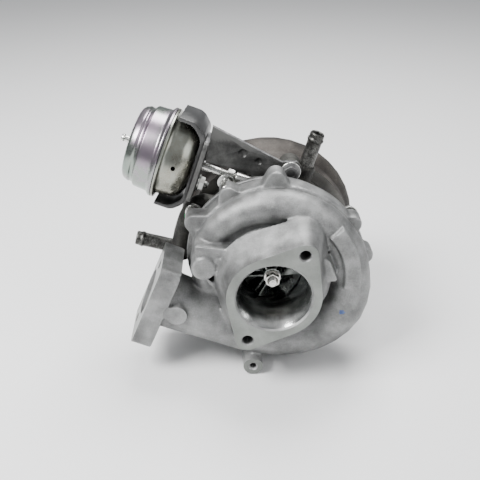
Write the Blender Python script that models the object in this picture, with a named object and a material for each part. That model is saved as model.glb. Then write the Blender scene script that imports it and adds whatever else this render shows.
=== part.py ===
import math

import bmesh
import bpy
from mathutils import Matrix, Vector

MM = 0.001

# Sizes in millimetres. Pieces are laid out round the shaft: X to the right, Y back from the inlet
# mouth along the shaft, Z up.
FIT = 0.3
SLIDE_FIT = 0.35
ROUND_STEPS = 28
MEDIUM_STEPS = 20
SMALL_STEPS = 12

# Compressor housing: inlet
MOUTH_RADIUS = 25.0
THROAT_RADIUS = 20.0
THROAT_DEPTH = 20.0
INLET_COLLAR_RADIUS = 31.5
INLET_BODY_DEPTH = 27.0
INLET_BODY_FLARE = 9.0
INLET_EAR_RADIUS = 8.0
INLET_HOLE_CIRCLE = 38.0
INLET_HOLE_ANGLES = (60.0, 243.0)
INLET_HOLE_RADIUS = 3.6
INLET_HOLE_DEPTH = 16.0

# Compressor housing: rear flange and its lugs (angle, tip radius)
REAR_FACE = 46.0
REAR_FLANGE_THICKNESS = 12.0
FLANGE_BACK = REAR_FACE + REAR_FLANGE_THICKNESS
LUGS = ((150.0, 70.0), (120.0, 67.5), (88.0, 73.0), (28.0, 72.0), (4.0, 75.0))
LUG_TIP_RADIUS = 6.5
LUG_BASE_HALF_WIDTH = 12.5
LUG_BASE_RADIUS = 52.0
BOLT_RADIUS = 3.0
CLAMP_BOLT_CIRCLE = 63.5
CLAMP_BOLT_ANGLES = (150.0, 120.0, 28.0, -60.0, 240.0)

# Compressor scroll: radius of the outer wall and of the round section, by angle round the shaft
SCROLL_WALL = 3.5
SCROLL_ANGLES = (210, 180, 150, 120, 90, 60, 30, 0, -15, -30, -45, -60, -75, -90)
SCROLL_REACH = (55, 57, 58.2, 59.2, 60.5, 62, 64.5, 69, 73, 76, 76.5, 75, 73, 70.5)
SCROLL_ROUND = (7.5, 8.5, 9.5, 10.5, 11.5, 12.5, 13.5, 14.5, 15.2, 15.8, 16.3, 16.7, 17.0, 17.3)
SCROLL_SIDES = 16
PASSAGE_SIDES = 10

# Discharge duct and its flange
DUCT_START = (-18.0, -49.0)
DUCT_END = (-77.5, -24.0)
DUCT_END_RADIUS = 21.0
OUTLET_DEPTH = REAR_FACE - 7.0
OUTLET_FLANGE_CENTRE = (-81.3, -22.5)
OUTLET_FLANGE_THICKNESS = 14.5
OUTLET_FLANGE_LENGTH = 66.0
OUTLET_FLANGE_WIDTH = 46.0
OUTLET_BORE_RADIUS = 16.5
OUTLET_BOLT_SPREAD = 50.0
OUTLET_BOLT_RADIUS = 3.6

# Bosses on the compressor housing (centre, radius, front face)
SIDE_BOSS = ((-47.0, 10.0), 8.5, 21.0)
DUCT_BOSS = ((-66.0, -25.0), 7.5, 16.0)
FOOT_BOSS = ((-12.8, -70.5), 7.0, 16.0)
FOOT_BOSS_HOLE_RADIUS = 2.4
FOOT_BOSS_BACK = REAR_FACE - 2.0

# Rotor
WHEEL_LENGTH = 18.3
WHEEL_BACK = REAR_FACE - 0.4
WHEEL_NOSE = WHEEL_BACK - WHEEL_LENGTH
NUT_THICKNESS = 5.2
NUT_BACK = WHEEL_NOSE - FIT
NUT_FRONT = NUT_BACK - NUT_THICKNESS
SHAFT_TIP = NUT_FRONT - 2.8
SHAFT_THIN_RADIUS = 3.0
SHAFT_RADIUS = SHAFT_THIN_RADIUS + 1.0
NUT_RADIUS = SHAFT_THIN_RADIUS + 2.2
WHEEL_NOSE_RADIUS = SHAFT_THIN_RADIUS + 3.0
SHROUD_GAP = 0.6
WHEEL_INLET_RADIUS = THROAT_RADIUS - SHROUD_GAP
WHEEL_RADIUS = WHEEL_INLET_RADIUS + 6.6
WHEEL_TIP_WIDTH = 3.2
FULL_BLADES = 6
BLADE_THICKNESS = 0.9

# Backplate and bearing housing
BACKPLATE_FRONT = REAR_FACE + FIT
BACKPLATE_WEB = 6.0
BACKPLATE_RIM_RADIUS = CLAMP_BOLT_CIRCLE - BOLT_RADIUS + 0.2
BACKPLATE_RIM_THICKNESS = 3.7
BACKPLATE_BACK = FLANGE_BACK + FIT + BACKPLATE_RIM_THICKNESS
HOUSING_FRONT = BACKPLATE_BACK + FIT
RECESS_RADIUS = 54.0
DIFFUSER_RADIUS = 49.5
FLINGER_RADIUS = SHAFT_THIN_RADIUS + 3.2
COLLAR_RADIUS = FLINGER_RADIUS + 2.8
THRUST_PLATE_RADIUS = 24.0
THRUST_PLATE_THICKNESS = 3.0
BEARING_BORE_RADIUS = SHAFT_RADIUS + 3.0
BEARING_LENGTH = 7.0
BEARING_GAP = 2.9
HOUSING_FLANGE_RADIUS = 52.0
HOUSING_FLANGE_THICKNESS = 4.0
HOUSING_CORE_RADIUS = 29.0
HOUSING_CORE_LENGTH = 17.7
HOT_FLANGE_THICKNESS = 4.0
HOUSING_FLANGE_BACK = HOUSING_FRONT + HOUSING_FLANGE_THICKNESS
HOT_FLANGE_FRONT = HOUSING_FLANGE_BACK + HOUSING_CORE_LENGTH
HOT_FLANGE_BACK = HOT_FLANGE_FRONT + HOT_FLANGE_THICKNESS
SEAL_HUB_RADIUS = 16.0
SEAL_HUB_LENGTH = 5.0
SEAL_LAND_RADIUS = SHAFT_RADIUS + 3.9
DRAIN_FRONT = HOUSING_FRONT + 5.7
DRAIN_BORE_RADIUS = 5.5

# Vane mechanism
VANES = 9
VANE_CIRCLE = 31.0
VANE_FIRST_ANGLE = 137.2
VANE_CHORD = 15.0
VANE_THICKNESS = 3.2
VANE_HEIGHT = 6.6
VANE_ANGLE = 62.0
VANE_STEM_RADIUS = 2.1
ARM_REACH = 7.5
ARM_TIP_RADIUS = 2.0
ARM_BOSS_RADIUS = 3.4
ARM_NECK = 1.3
ARM_THICKNESS = 2.6
ARM_GAP = 1.4
NOZZLE_RING_THICKNESS = 4.0
NOZZLE_RING_INNER = VANE_CIRCLE - 5.0
NOZZLE_RING_OUTER = VANE_CIRCLE + 15.0
UNISON_INNER = VANE_CIRCLE + 5.6
UNISON_OUTER = VANE_CIRCLE + 12.5
CRANK_ARM_REACH = 8.5

# Actuator. The rod runs from the can's axis to a pin on the crank lever.
ROD_DIRECTION = (0.9405, -0.1279, -0.3148)
LEVER_FRONT = HOUSING_FRONT + 15.1
ROD_PIN = (-10.6, LEVER_FRONT - 6.0, 48.9)
LEVER_LENGTH = 18.0
LEVER_THICKNESS = 3.0
CRANK_PIN_RADIUS = 2.5
EYE_CLEARANCE = 1.05
EYE_RADIUS = 6.0
EYE_THICKNESS = 5.4
ROD_RADIUS = 3.0
CAN_RIM_DISTANCE = 68.0
CAN_FRONT_RADIUS = 28.6
CAN_REAR_RADIUS = CAN_FRONT_RADIUS + 1.0
CAN_RIM_RADIUS = CAN_FRONT_RADIUS + 3.7
CAN_FRONT_LENGTH = 22.0
CAN_REAR_LENGTH = 23.5
CAN_WALL = 1.4
CRADLE_GAP = 2.6
CRADLE_WIDTH = 30.0
CRADLE_THICKNESS = 2.4
MOUNT_FLANGE_SIZE = 46.0
STUD_SPREAD = 14.6
STUD_SIDE = -2.8

# Bracket
BRACKET_FRONT = HOUSING_FRONT + 6.7
BRACKET_THICKNESS = 3.0
BRACKET_BOLT = (13.4, 60.4)
BOLT_END = BRACKET_FRONT + 11.0

# Turbine housing
HOT_CAVITY_RADIUS = NOZZLE_RING_OUTER + 4.5
HOT_FLANGE_RADIUS = HOT_CAVITY_RADIUS + 3.5
SCROLL_CIRCLE = NOZZLE_RING_OUTER + 3.0
HOT_SCROLL_DEPTH = HOT_FLANGE_BACK + 25.0
HOT_SCROLL_LARGE = 19.5
HOT_SCROLL_SMALL = 16.5
HOT_WALL = 4.0
HOT_FLANGE_OUTER = HOT_CAVITY_RADIUS + 11.5
TURBINE_RADIUS = 22.0
TURBINE_OUTLET_RADIUS = 20.4
TURBINE_BACK = HOT_FLANGE_BACK + 9.6
TURBINE_BLADE_END = TURBINE_BACK + 20.4
TURBINE_BLADES = 10
OUTLET_NECK_RADIUS = 33.0
OUTLET_CONE_RADIUS = 26.0
OUTLET_FACE = HOT_FLANGE_BACK + 62.0
OUTLET_RING_RADIUS = 38.0
OUTLET_RING_THICKNESS = 8.0
INLET_FOOT_CENTRE = (-24.0, HOT_SCROLL_DEPTH + 4.0)
INLET_FOOT_SIZE = (80.0, 56.0)
INLET_FOOT_THICKNESS = 10.0
INLET_FOOT_HOLES = (62.0, 38.0)
FLOOR = -78.0
HOT_INLET_TOP = 6.0
FOOT_HOLE_RADIUS = 4.5

# Coolant pipes (base, tip)
PIPE_RADIUS = 5.2
PIPE_BORE_RADIUS = 3.7
PIPE_DEPTH = 8.0
RIGHT_PIPE_DEPTH = HOUSING_FRONT + 18.0
LEFT_PIPE_DEPTH = HOUSING_FRONT + 14.7
RIGHT_PIPE = ((26.0, RIGHT_PIPE_DEPTH, 62.5), (32.4, RIGHT_PIPE_DEPTH, 84.4))
LEFT_PIPE = ((-64.0, LEFT_PIPE_DEPTH, -6.2), (-99.7, LEFT_PIPE_DEPTH, 3.4))

# Levels that follow from the sizes above
NOZZLE_FRONT = HOT_FLANGE_BACK + 2 * ARM_GAP + ARM_THICKNESS
NOZZLE_BACK = NOZZLE_FRONT + NOZZLE_RING_THICKNESS
ARM_FRONT = HOT_FLANGE_BACK + ARM_GAP
PASSAGE_BACK = NOZZLE_BACK + VANE_HEIGHT + 2 * FIT


def polar(radius, degrees):
    angle = math.radians(degrees)
    return radius * math.cos(angle), radius * math.sin(angle)


def arc(centre, radius, start, end, steps):
    points = []
    for step in range(steps + 1):
        x, z = polar(radius, start + (end - start) * step / steps)
        points.append((centre[0] + x, centre[1] + z))
    return points


def make_material(name, colour, metallic, roughness):
    material = bpy.data.materials.new(name)
    material.use_nodes = True
    shader = material.node_tree.nodes["Principled BSDF"]
    shader.inputs["Base Color"].default_value = (*colour, 1.0)
    shader.inputs["Metallic"].default_value = metallic
    shader.inputs["Roughness"].default_value = roughness
    return material


def finish_mesh(name, mesh_builder, parent, material=None, helper=False):
    bmesh.ops.recalc_face_normals(mesh_builder, faces=mesh_builder.faces)
    mesh = bpy.data.meshes.new(name)
    mesh_builder.to_mesh(mesh)
    mesh_builder.free()
    mesh.shade_smooth()
    mesh.set_sharp_from_angle(angle=math.radians(35.0))
    piece = bpy.data.objects.new(name, mesh)
    bpy.context.scene.collection.objects.link(piece)
    piece.parent = parent
    if material:
        mesh.materials.append(material)
    if helper:
        piece.hide_render = True
        piece.display_type = "WIRE"
    return piece


def skin(mesh_builder, rings, closed=False):
    """Faces between rings of vertices; a ring of one vertex is a point on the axis."""
    pairs = list(zip(rings, rings[1:]))
    if closed:
        pairs.append((rings[-1], rings[0]))
    for near, far in pairs:
        steps = max(len(near), len(far))
        for step in range(steps):
            following = (step + 1) % steps
            corners = [
                near[step % len(near)],
                near[following % len(near)],
                far[following % len(far)],
                far[step % len(far)],
            ]
            corners = list(dict.fromkeys(corners))
            if len(corners) > 2:
                mesh_builder.faces.new(corners)


def add_turned(mesh_builder, profile, steps):
    """A closed profile of (distance along Y, radius), turned round Y."""
    rings = []
    for along, radius in profile:
        if radius < 1e-6:
            rings.append([mesh_builder.verts.new((0.0, along * MM, 0.0))])
            continue
        ring = []
        for step in range(steps):
            x, z = polar(radius, 360.0 * step / steps)
            ring.append(mesh_builder.verts.new((x * MM, along * MM, z * MM)))
        rings.append(ring)
    skin(mesh_builder, rings, closed=True)


def add_prism(mesh_builder, outline, front, back):
    """A flat outline in XZ, extruded along Y."""
    near = [mesh_builder.verts.new((x * MM, front * MM, z * MM)) for x, z in outline]
    far = [mesh_builder.verts.new((x * MM, back * MM, z * MM)) for x, z in outline]
    skin(mesh_builder, [near, far])
    mesh_builder.faces.new(near)
    mesh_builder.faces.new(far)


def add_loft(mesh_builder, sections):
    rings = []
    for section in sections:
        rings.append([mesh_builder.verts.new(Vector(point) * MM) for point in section])
    skin(mesh_builder, rings)
    mesh_builder.faces.new(rings[0])
    mesh_builder.faces.new(rings[-1])


def turned(name, profile, parent, material=None, steps=ROUND_STEPS, helper=False):
    mesh_builder = bmesh.new()
    add_turned(mesh_builder, profile, steps)
    return finish_mesh(name, mesh_builder, parent, material, helper)


def prism(name, outline, front, back, parent, material=None, helper=False):
    mesh_builder = bmesh.new()
    add_prism(mesh_builder, outline, front, back)
    return finish_mesh(name, mesh_builder, parent, material, helper)


def rod_between(name, start, end, radius, parent, material=None, bore=0.0, helper=False):
    """A round bar, or a pipe where bore is not zero."""
    start = Vector(start)
    direction = Vector(end) - start
    length = direction.length
    inner = bore if bore else 0.0
    profile = [(0.0, inner), (0.0, radius), (length, radius), (length, inner)]
    piece = turned(name, profile, parent, material, SMALL_STEPS, helper)
    piece.matrix_local = along_axis(start, direction)
    return piece


def along_axis(place, direction):
    """A frame at place, in millimetres, with its Y axis along direction."""
    turn = Vector((0.0, 1.0, 0.0)).rotation_difference(Vector(direction)).to_matrix()
    return Matrix.Translation(Vector(place) * MM) @ turn.to_4x4()


def combine(piece, others, operation, solver="EXACT"):
    """Castings whose many shapes share planes and edges take the MANIFOLD solver."""
    for other in others:
        modifier = piece.modifiers.new(operation.title(), "BOOLEAN")
        modifier.operation = operation
        modifier.object = other
        modifier.solver = solver


def cylinder_profile(front, back, radius):
    return [(front, 0.0), (front, radius), (back, radius), (back, 0.0)]


def drill(name, place, radius, front, back, parent):
    """A round cutter along Y at place (x, z)."""
    cutter = turned(name, cylinder_profile(front, back, radius), parent, None, SMALL_STEPS, True)
    cutter.location = (place[0] * MM, 0.0, place[1] * MM)
    return cutter


def duct_section(centre, across, radius, sides, squareness=0.0):
    """A round section spanned by a direction in XZ and by Y; the rear outer quarter can be squarer."""
    x, depth, z = centre
    points = []
    for step in range(sides):
        angle = 2.0 * math.pi * step / sides
        outward = math.cos(angle)
        rearward = math.sin(angle)
        if outward > 0.0 and rearward > 0.0 and squareness:
            stretch = max(outward, rearward) ** -squareness
            outward *= stretch
            rearward *= stretch
        points.append((
            x + radius * outward * across[0],
            depth + radius * rearward,
            z + radius * outward * across[1],
        ))
    return points


def interpolate(value, keys, values):
    """Straight interpolation on falling keys."""
    for left in range(len(keys) - 1):
        if keys[left] >= value >= keys[left + 1]:
            share = (keys[left] - value) / (keys[left] - keys[left + 1])
            return values[left] + share * (values[left + 1] - values[left])
    return values[-1]


def scroll_section(angle, inset):
    """(centre, across, radius) of the compressor scroll at an angle round the shaft."""
    radius = interpolate(angle, SCROLL_ANGLES, SCROLL_ROUND)
    reach = interpolate(angle, SCROLL_ANGLES, SCROLL_REACH)
    x, z = polar(reach - radius, angle)
    return (x, REAR_FACE - 2.0 - 0.5 * radius, z), polar(1.0, angle), radius - inset


def scroll_stations(inset):
    angles = range(SCROLL_ANGLES[0], SCROLL_ANGLES[-1] - 1, -20)
    return [scroll_section(angle, inset) for angle in angles]


def duct_stations(inset):
    """The straight discharge duct, which overlaps the end of the scroll."""
    stations = [scroll_section(angle, inset) for angle in (-80, SCROLL_ANGLES[-1])]
    duct = Vector(DUCT_END) - Vector(DUCT_START)
    across = (duct.normalized()[1] * -1.0, duct.normalized()[0])
    last_radius = SCROLL_ROUND[-1]
    last_depth = stations[-1][0][1]
    for share in (0.0, 0.35, 0.7, 1.0):
        place = Vector(DUCT_START) + duct * share
        radius = last_radius + (DUCT_END_RADIUS - last_radius) * share
        depth = last_depth + (OUTLET_DEPTH - last_depth) * share
        stations.append(((place[0], depth, place[1]), across, radius - inset))
    return stations


def swept(name, stations, sides, squareness, parent, material=None, helper=False):
    mesh_builder = bmesh.new()
    add_loft(mesh_builder, [duct_section(*station, sides, squareness) for station in stations])
    return finish_mesh(name, mesh_builder, parent, material, helper)


def outlet_frame(parent):
    """An empty whose Y axis is the discharge flange's outward normal and whose Z runs along it."""
    duct = (Vector(DUCT_END) - Vector(DUCT_START)).normalized()
    normal = Vector((duct[0], 0.0, duct[1]))
    side = Vector((0.0, -1.0, 0.0))
    length = side.cross(normal)
    turn = Matrix((side, normal, length)).transposed().to_4x4()
    place = Vector((OUTLET_FLANGE_CENTRE[0], OUTLET_DEPTH, OUTLET_FLANGE_CENTRE[1])) * MM
    empty = bpy.data.objects.new("outlet_frame", None)
    bpy.context.scene.collection.objects.link(empty)
    empty.parent = parent
    empty.matrix_local = Matrix.Translation(place) @ turn
    return empty


def inlet_outline(grow):
    """The collar circle with two rounded ears opposite each other."""
    points = []
    ear = INLET_EAR_RADIUS + grow
    collar = INLET_COLLAR_RADIUS + grow
    spread = math.degrees(math.acos((collar - ear) / INLET_HOLE_CIRCLE))
    angles = INLET_HOLE_ANGLES
    for index, angle in enumerate(angles):
        other = angles[(index + 1) % 2] + 360.0 * index
        points += arc(polar(INLET_HOLE_CIRCLE, angle), ear, angle - spread, angle + spread, 6)
        points += arc((0.0, 0.0), collar, angle + spread, other - spread, 9)[1:-1]
    return points


def rear_flange_outline(steps=40):
    points = []
    for step in range(steps):
        angle = 210.0 - 360.0 * step / steps
        if angle >= SCROLL_ANGLES[-1]:
            radius = interpolate(angle, SCROLL_ANGLES, SCROLL_REACH)
        else:
            share = (SCROLL_ANGLES[-1] - angle) / (360.0 + SCROLL_ANGLES[-1] - SCROLL_ANGLES[0])
            radius = SCROLL_REACH[-1] + share * (SCROLL_REACH[0] - SCROLL_REACH[-1])
        points.append(polar(radius, angle))
    return points


def lug_outline(angle, tip_radius):
    out = polar(1.0, angle)
    along = (-out[1], out[0])
    base = []
    for side in (1.0, -1.0):
        x = LUG_BASE_RADIUS * out[0] + side * LUG_BASE_HALF_WIDTH * along[0]
        z = LUG_BASE_RADIUS * out[1] + side * LUG_BASE_HALF_WIDTH * along[1]
        base.append((x, z))
    centre = polar(tip_radius - LUG_TIP_RADIUS, angle)
    tip = arc(centre, LUG_TIP_RADIUS, angle - 65.0, angle + 65.0, 5)
    return [base[1], *tip, base[0]]


def compressor_housing(root, material):
    housing = swept("compressor_housing", scroll_stations(0.0), SCROLL_SIDES, 0.75, root, material)
    duct = swept("discharge_duct", duct_stations(0.0), SCROLL_SIDES, 0.0, root, helper=True)
    flare = []
    for share in (0.0, 0.35, 0.7, 1.0):
        outline = inlet_outline(INLET_BODY_FLARE * share ** 1.6)
        flare.append([(x, INLET_BODY_DEPTH * share, z) for x, z in outline])
    mesh_builder = bmesh.new()
    add_loft(mesh_builder, flare)
    inlet_body = finish_mesh("inlet_body", mesh_builder, root, helper=True)
    core = turned("scroll_core", cylinder_profile(INLET_BODY_DEPTH - 4.0, FLANGE_BACK, 48.0),
                  root, helper=True)
    flange = prism("rear_flange", rear_flange_outline(), REAR_FACE - 3.0, FLANGE_BACK, root,
                   helper=True)
    solids = [duct, core, inlet_body, flange]
    for index, (angle, tip_radius) in enumerate(LUGS):
        outline = lug_outline(angle, tip_radius)
        solids.append(prism(f"lug_{index}", outline, REAR_FACE, FLANGE_BACK, root, helper=True))
    for name, (place, radius, front), back in (
        ("side_boss", SIDE_BOSS, REAR_FACE),
        ("duct_boss", DUCT_BOSS, OUTLET_DEPTH),
        ("foot_boss", FOOT_BOSS, FOOT_BOSS_BACK),
    ):
        solids.append(turned(name, cylinder_profile(front, back, radius), root, None,
                             SMALL_STEPS, True))
        solids[-1].location = (place[0] * MM, 0.0, place[1] * MM)
    rib = [(-41.0, 1.0), (-28.0, 1.0), (-28.0, 15.0), (-41.0, 15.0)]
    solids.append(prism("side_rib", rib, SIDE_BOSS[2] + 2.0, REAR_FACE, root, helper=True))
    pad = [(28.0, 2.0), (42.0, 2.0), (42.0, 22.0), (28.0, 22.0)]
    solids.append(prism("inlet_pad", pad, 15.0, REAR_FACE, root, helper=True))
    frame = outlet_frame(root)
    half_width = OUTLET_FLANGE_WIDTH / 2.0
    half_length = OUTLET_FLANGE_LENGTH / 2.0
    corner = 7.0
    plate = (
        arc((half_width - corner, half_length - corner), corner, 0.0, 90.0, 4)
        + arc((corner - half_width, half_length - corner), corner, 90.0, 180.0, 4)
        + arc((corner - half_width, corner - half_length), corner, 180.0, 270.0, 4)
        + arc((half_width - corner, corner - half_length), corner, 270.0, 360.0, 4)
    )
    half_thick = OUTLET_FLANGE_THICKNESS / 2.0
    solids.append(prism("outlet_flange", plate, -half_thick, half_thick, frame, helper=True))
    combine(housing, solids, "UNION", "MANIFOLD")
    combine(housing, compressor_cutters(root, frame, half_thick), "DIFFERENCE", "MANIFOLD")
    return housing


def shroud_profile():
    """Radius of the passage over the blades, from the throat to the diffuser."""
    tip_front = WHEEL_BACK - 1.0 - WHEEL_TIP_WIDTH - SHROUD_GAP
    return [
        (THROAT_DEPTH, THROAT_RADIUS),
        (WHEEL_BACK - 15.6, THROAT_RADIUS + 0.2),
        (WHEEL_BACK - 10.6, THROAT_RADIUS + 1.2),
        (WHEEL_BACK - 7.1, THROAT_RADIUS + 3.4),
        (tip_front - 0.4, THROAT_RADIUS + 6.6),
        (tip_front, THROAT_RADIUS + 9.5),
    ]


def compressor_cutters(root, frame, half_thick):
    shroud = shroud_profile()
    diffuser_front = shroud[-1][0]
    bore = [
        (-1.0, 0.0),
        (-1.0, MOUTH_RADIUS + 1.0),
        (0.0, MOUTH_RADIUS),
        *shroud,
        (diffuser_front, DIFFUSER_RADIUS),
        (REAR_FACE, DIFFUSER_RADIUS),
        (REAR_FACE, RECESS_RADIUS),
        (FLANGE_BACK + 1.0, RECESS_RADIUS),
        (FLANGE_BACK + 1.0, 0.0),
    ]
    cutters = [turned("housing_bore", bore, root, helper=True)]
    cutters.append(swept("scroll_passage", scroll_stations(SCROLL_WALL), PASSAGE_SIDES, 0.0, root,
                         helper=True))
    cutters.append(swept("duct_passage", duct_stations(SCROLL_WALL), PASSAGE_SIDES, 0.0, root,
                         helper=True))
    outlet = cylinder_profile(-half_thick - 12.0, half_thick + 1.0, OUTLET_BORE_RADIUS)
    cutters.append(turned("outlet_bore", outlet, frame, helper=True, steps=MEDIUM_STEPS))
    for side in (1.0, -1.0):
        place = (0.0, side * OUTLET_BOLT_SPREAD / 2.0)
        cutters.append(drill(f"outlet_hole_{int(side > 0)}", place, OUTLET_BOLT_RADIUS,
                             -half_thick - 2.0, half_thick + 1.0, frame))
    for index, angle in enumerate(INLET_HOLE_ANGLES):
        place = polar(INLET_HOLE_CIRCLE, angle)
        cutters.append(drill(f"inlet_hole_{index}", place, INLET_HOLE_RADIUS, -1.0,
                             INLET_HOLE_DEPTH, root))
    cutters.append(drill("foot_hole", FOOT_BOSS[0], FOOT_BOSS_HOLE_RADIUS, 0.0,
                         FOOT_BOSS[2] + 12.0, root))
    for index, angle in enumerate(CLAMP_BOLT_ANGLES):
        place = polar(CLAMP_BOLT_CIRCLE, angle)
        cutters.append(drill(f"clamp_hole_{index}", place, BOLT_RADIUS + FIT,
                             FLANGE_BACK - 9.0, FLANGE_BACK + 1.0, root))
    return cutters


def hub_profile(front, back, nose_radius, rim_radius, rim_thickness, steps):
    """A hub that sweeps from a slim nose to a wide rim along a quarter ellipse."""
    points = []
    for step in range(steps + 1):
        angle = math.pi / 2.0 * step / steps
        along = front + (back - rim_thickness - front) * math.sin(angle)
        radius = nose_radius + (rim_radius - nose_radius) * (1.0 - math.cos(angle))
        points.append((along, radius))
    return points


def blade(mesh_builder, hub_line, tip_line, wraps, start_angle, thickness):
    """A thin blade between a hub line and a tip line, each a list of (along, radius)."""
    sections = []
    for (hub_y, hub_r), (tip_y, tip_r), wrap in zip(hub_line, tip_line, wraps):
        section = []
        for along, radius, side in (
            (hub_y, hub_r, 1.0),
            (tip_y, tip_r, 0.5),
            (tip_y, tip_r, -0.5),
            (hub_y, hub_r, -1.0),
        ):
            shift = math.degrees(side * thickness / 2.0 / radius)
            x, z = polar(radius, start_angle + wrap + shift)
            section.append((x, along, z))
        sections.append(section)
    add_loft(mesh_builder, sections)


def compressor_wheel(rotor, material):
    rim_thickness = 1.0
    hub = hub_profile(WHEEL_NOSE, WHEEL_BACK, WHEEL_NOSE_RADIUS, WHEEL_RADIUS, rim_thickness, 5)
    bore = SHAFT_THIN_RADIUS + FIT
    profile = [*hub, (WHEEL_BACK, WHEEL_RADIUS), (WHEEL_BACK, bore), (WHEEL_NOSE, bore)]
    wheel = turned("compressor_wheel", profile, rotor, material, MEDIUM_STEPS)
    mesh_builder = bmesh.new()
    hub_line = [(along + 0.5, radius - 0.5) for along, radius in hub[1:]]
    hub_line[-1] = (hub[-1][0] + 0.5, WHEEL_RADIUS)
    rim_front = WHEEL_BACK - rim_thickness - WHEEL_TIP_WIDTH
    tip_line = []
    for step in range(len(hub_line)):
        angle = math.pi / 2.0 * step / (len(hub_line) - 1)
        along = WHEEL_NOSE + 1.4 + (rim_front - WHEEL_NOSE - 1.4) * math.sin(angle)
        radius = WHEEL_INLET_RADIUS + (WHEEL_RADIUS - WHEEL_INLET_RADIUS) * (1 - math.cos(angle))
        tip_line.append((along, radius))
    wraps = [0.0, 30.0, 45.0, 54.0, 70.0]
    pitch = 360.0 / FULL_BLADES
    for index in range(FULL_BLADES):
        blade(mesh_builder, hub_line, tip_line, wraps, pitch * index, BLADE_THICKNESS)
        blade(mesh_builder, hub_line[1:], tip_line[1:], wraps[1:], pitch * (index + 0.5),
              BLADE_THICKNESS)
    blades = finish_mesh("compressor_blades", mesh_builder, rotor, helper=True)
    combine(wheel, [blades], "UNION")
    return wheel


def turbine_wheel(rotor, material):
    back = TURBINE_BACK
    hub = [
        (back - 3.2, 0.0), (back - 3.2, SEAL_LAND_RADIUS), (back, SEAL_LAND_RADIUS + 1.0),
        (back, TURBINE_RADIUS), (back + 1.2, TURBINE_RADIUS), (back + 5.0, 13.0),
        (back + 10.0, 9.5), (back + 16.0, 8.0), (TURBINE_BLADE_END, 7.6),
        (TURBINE_BLADE_END + 3.0, 6.0), (TURBINE_BLADE_END + 4.0, 0.0),
    ]
    wheel = turned("turbine_wheel", hub, rotor, material, MEDIUM_STEPS)
    mesh_builder = bmesh.new()
    hub_line = [(back + 0.6, 20.4), (back + 3.9, 12.0), (back + 9.6, 8.4), (back + 15.3, 7.1),
                (TURBINE_BLADE_END - 0.7, 6.4)]
    tip_line = [(back + 7.0, 21.3), (back + 9.0, 21.0), (back + 12.0, TURBINE_OUTLET_RADIUS),
                (back + 16.0, TURBINE_OUTLET_RADIUS), (TURBINE_BLADE_END, TURBINE_OUTLET_RADIUS)]
    for index in range(TURBINE_BLADES):
        blade(mesh_builder, hub_line, tip_line, (0.0, 0.0, 4.0, 14.0, 30.0),
              360.0 / TURBINE_BLADES * index, 1.1)
    blades = finish_mesh("turbine_blades", mesh_builder, rotor, helper=True)
    combine(wheel, [blades], "UNION", "MANIFOLD")
    return wheel


def hexagon(radius):
    return [polar(radius, 60.0 * corner) for corner in range(6)]


def hex_nut(name, radius, bore, front, back, parent, material):
    nut = prism(name, hexagon(radius), front, back, parent, material)
    hole = drill(name + "_hole", (0.0, 0.0), bore, front - 1.0, back + 1.0, parent)
    combine(nut, [hole], "DIFFERENCE")
    return nut, hole


def rotor_parts(rotor, metals):
    thin = SHAFT_THIN_RADIUS
    bore = thin + FIT
    shoulder = HOUSING_FRONT + FIT + THRUST_PLATE_THICKNESS + FIT + 2.6 + FIT
    land_front = HOT_FLANGE_FRONT + 3.1
    land_back = TURBINE_BACK - 3.2 - FIT
    turned("shaft", [
        (SHAFT_TIP, 0.0), (SHAFT_TIP, thin - 0.5), (SHAFT_TIP + 0.5, thin), (shoulder, thin),
        (shoulder, SHAFT_RADIUS), (land_front, SHAFT_RADIUS), (land_front, SEAL_LAND_RADIUS),
        (land_back, SEAL_LAND_RADIUS), (land_back, 0.0),
    ], rotor, metals["bright_steel"], MEDIUM_STEPS)
    compressor_wheel(rotor, metals["wheel_aluminium"])
    turbine_wheel(rotor, metals["nickel_alloy"])
    hex_nut("shaft_nut", NUT_RADIUS, bore, NUT_FRONT, NUT_BACK, rotor, metals["bright_steel"])
    flange_front = HOUSING_FRONT - 2.5
    turned("oil_flinger", [
        (WHEEL_BACK + FIT, bore), (WHEEL_BACK + FIT, FLINGER_RADIUS),
        (flange_front, FLINGER_RADIUS), (flange_front, COLLAR_RADIUS),
        (HOUSING_FRONT, COLLAR_RADIUS), (HOUSING_FRONT, bore),
    ], rotor, metals["bright_steel"], MEDIUM_STEPS)
    collar_front = HOUSING_FRONT + FIT
    collar_step = collar_front + THRUST_PLATE_THICKNESS + FIT
    turned("thrust_collar", [
        (collar_front, bore), (collar_front, FLINGER_RADIUS), (collar_step, FLINGER_RADIUS),
        (collar_step, COLLAR_RADIUS), (shoulder - FIT, COLLAR_RADIUS), (shoulder - FIT, bore),
    ], rotor, metals["bright_steel"], MEDIUM_STEPS)
    return shoulder


def journal_bearings(root, shoulder, material):
    outer = BEARING_BORE_RADIUS - FIT
    inner = SHAFT_RADIUS + FIT
    for name, front in (
        ("journal_bearing_front", shoulder + FIT),
        ("journal_bearing_rear", shoulder + FIT + BEARING_LENGTH + BEARING_GAP),
    ):
        back = front + BEARING_LENGTH
        turned(name, [(front, inner), (front, outer), (back, outer), (back, inner)],
               root, material, MEDIUM_STEPS)
    front = shoulder + FIT + BEARING_LENGTH + FIT
    back = front + BEARING_GAP - 2.0 * FIT
    turned("bearing_spacer", [(front, inner), (front, outer), (back, outer), (back, inner)],
           root, material, MEDIUM_STEPS)


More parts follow.
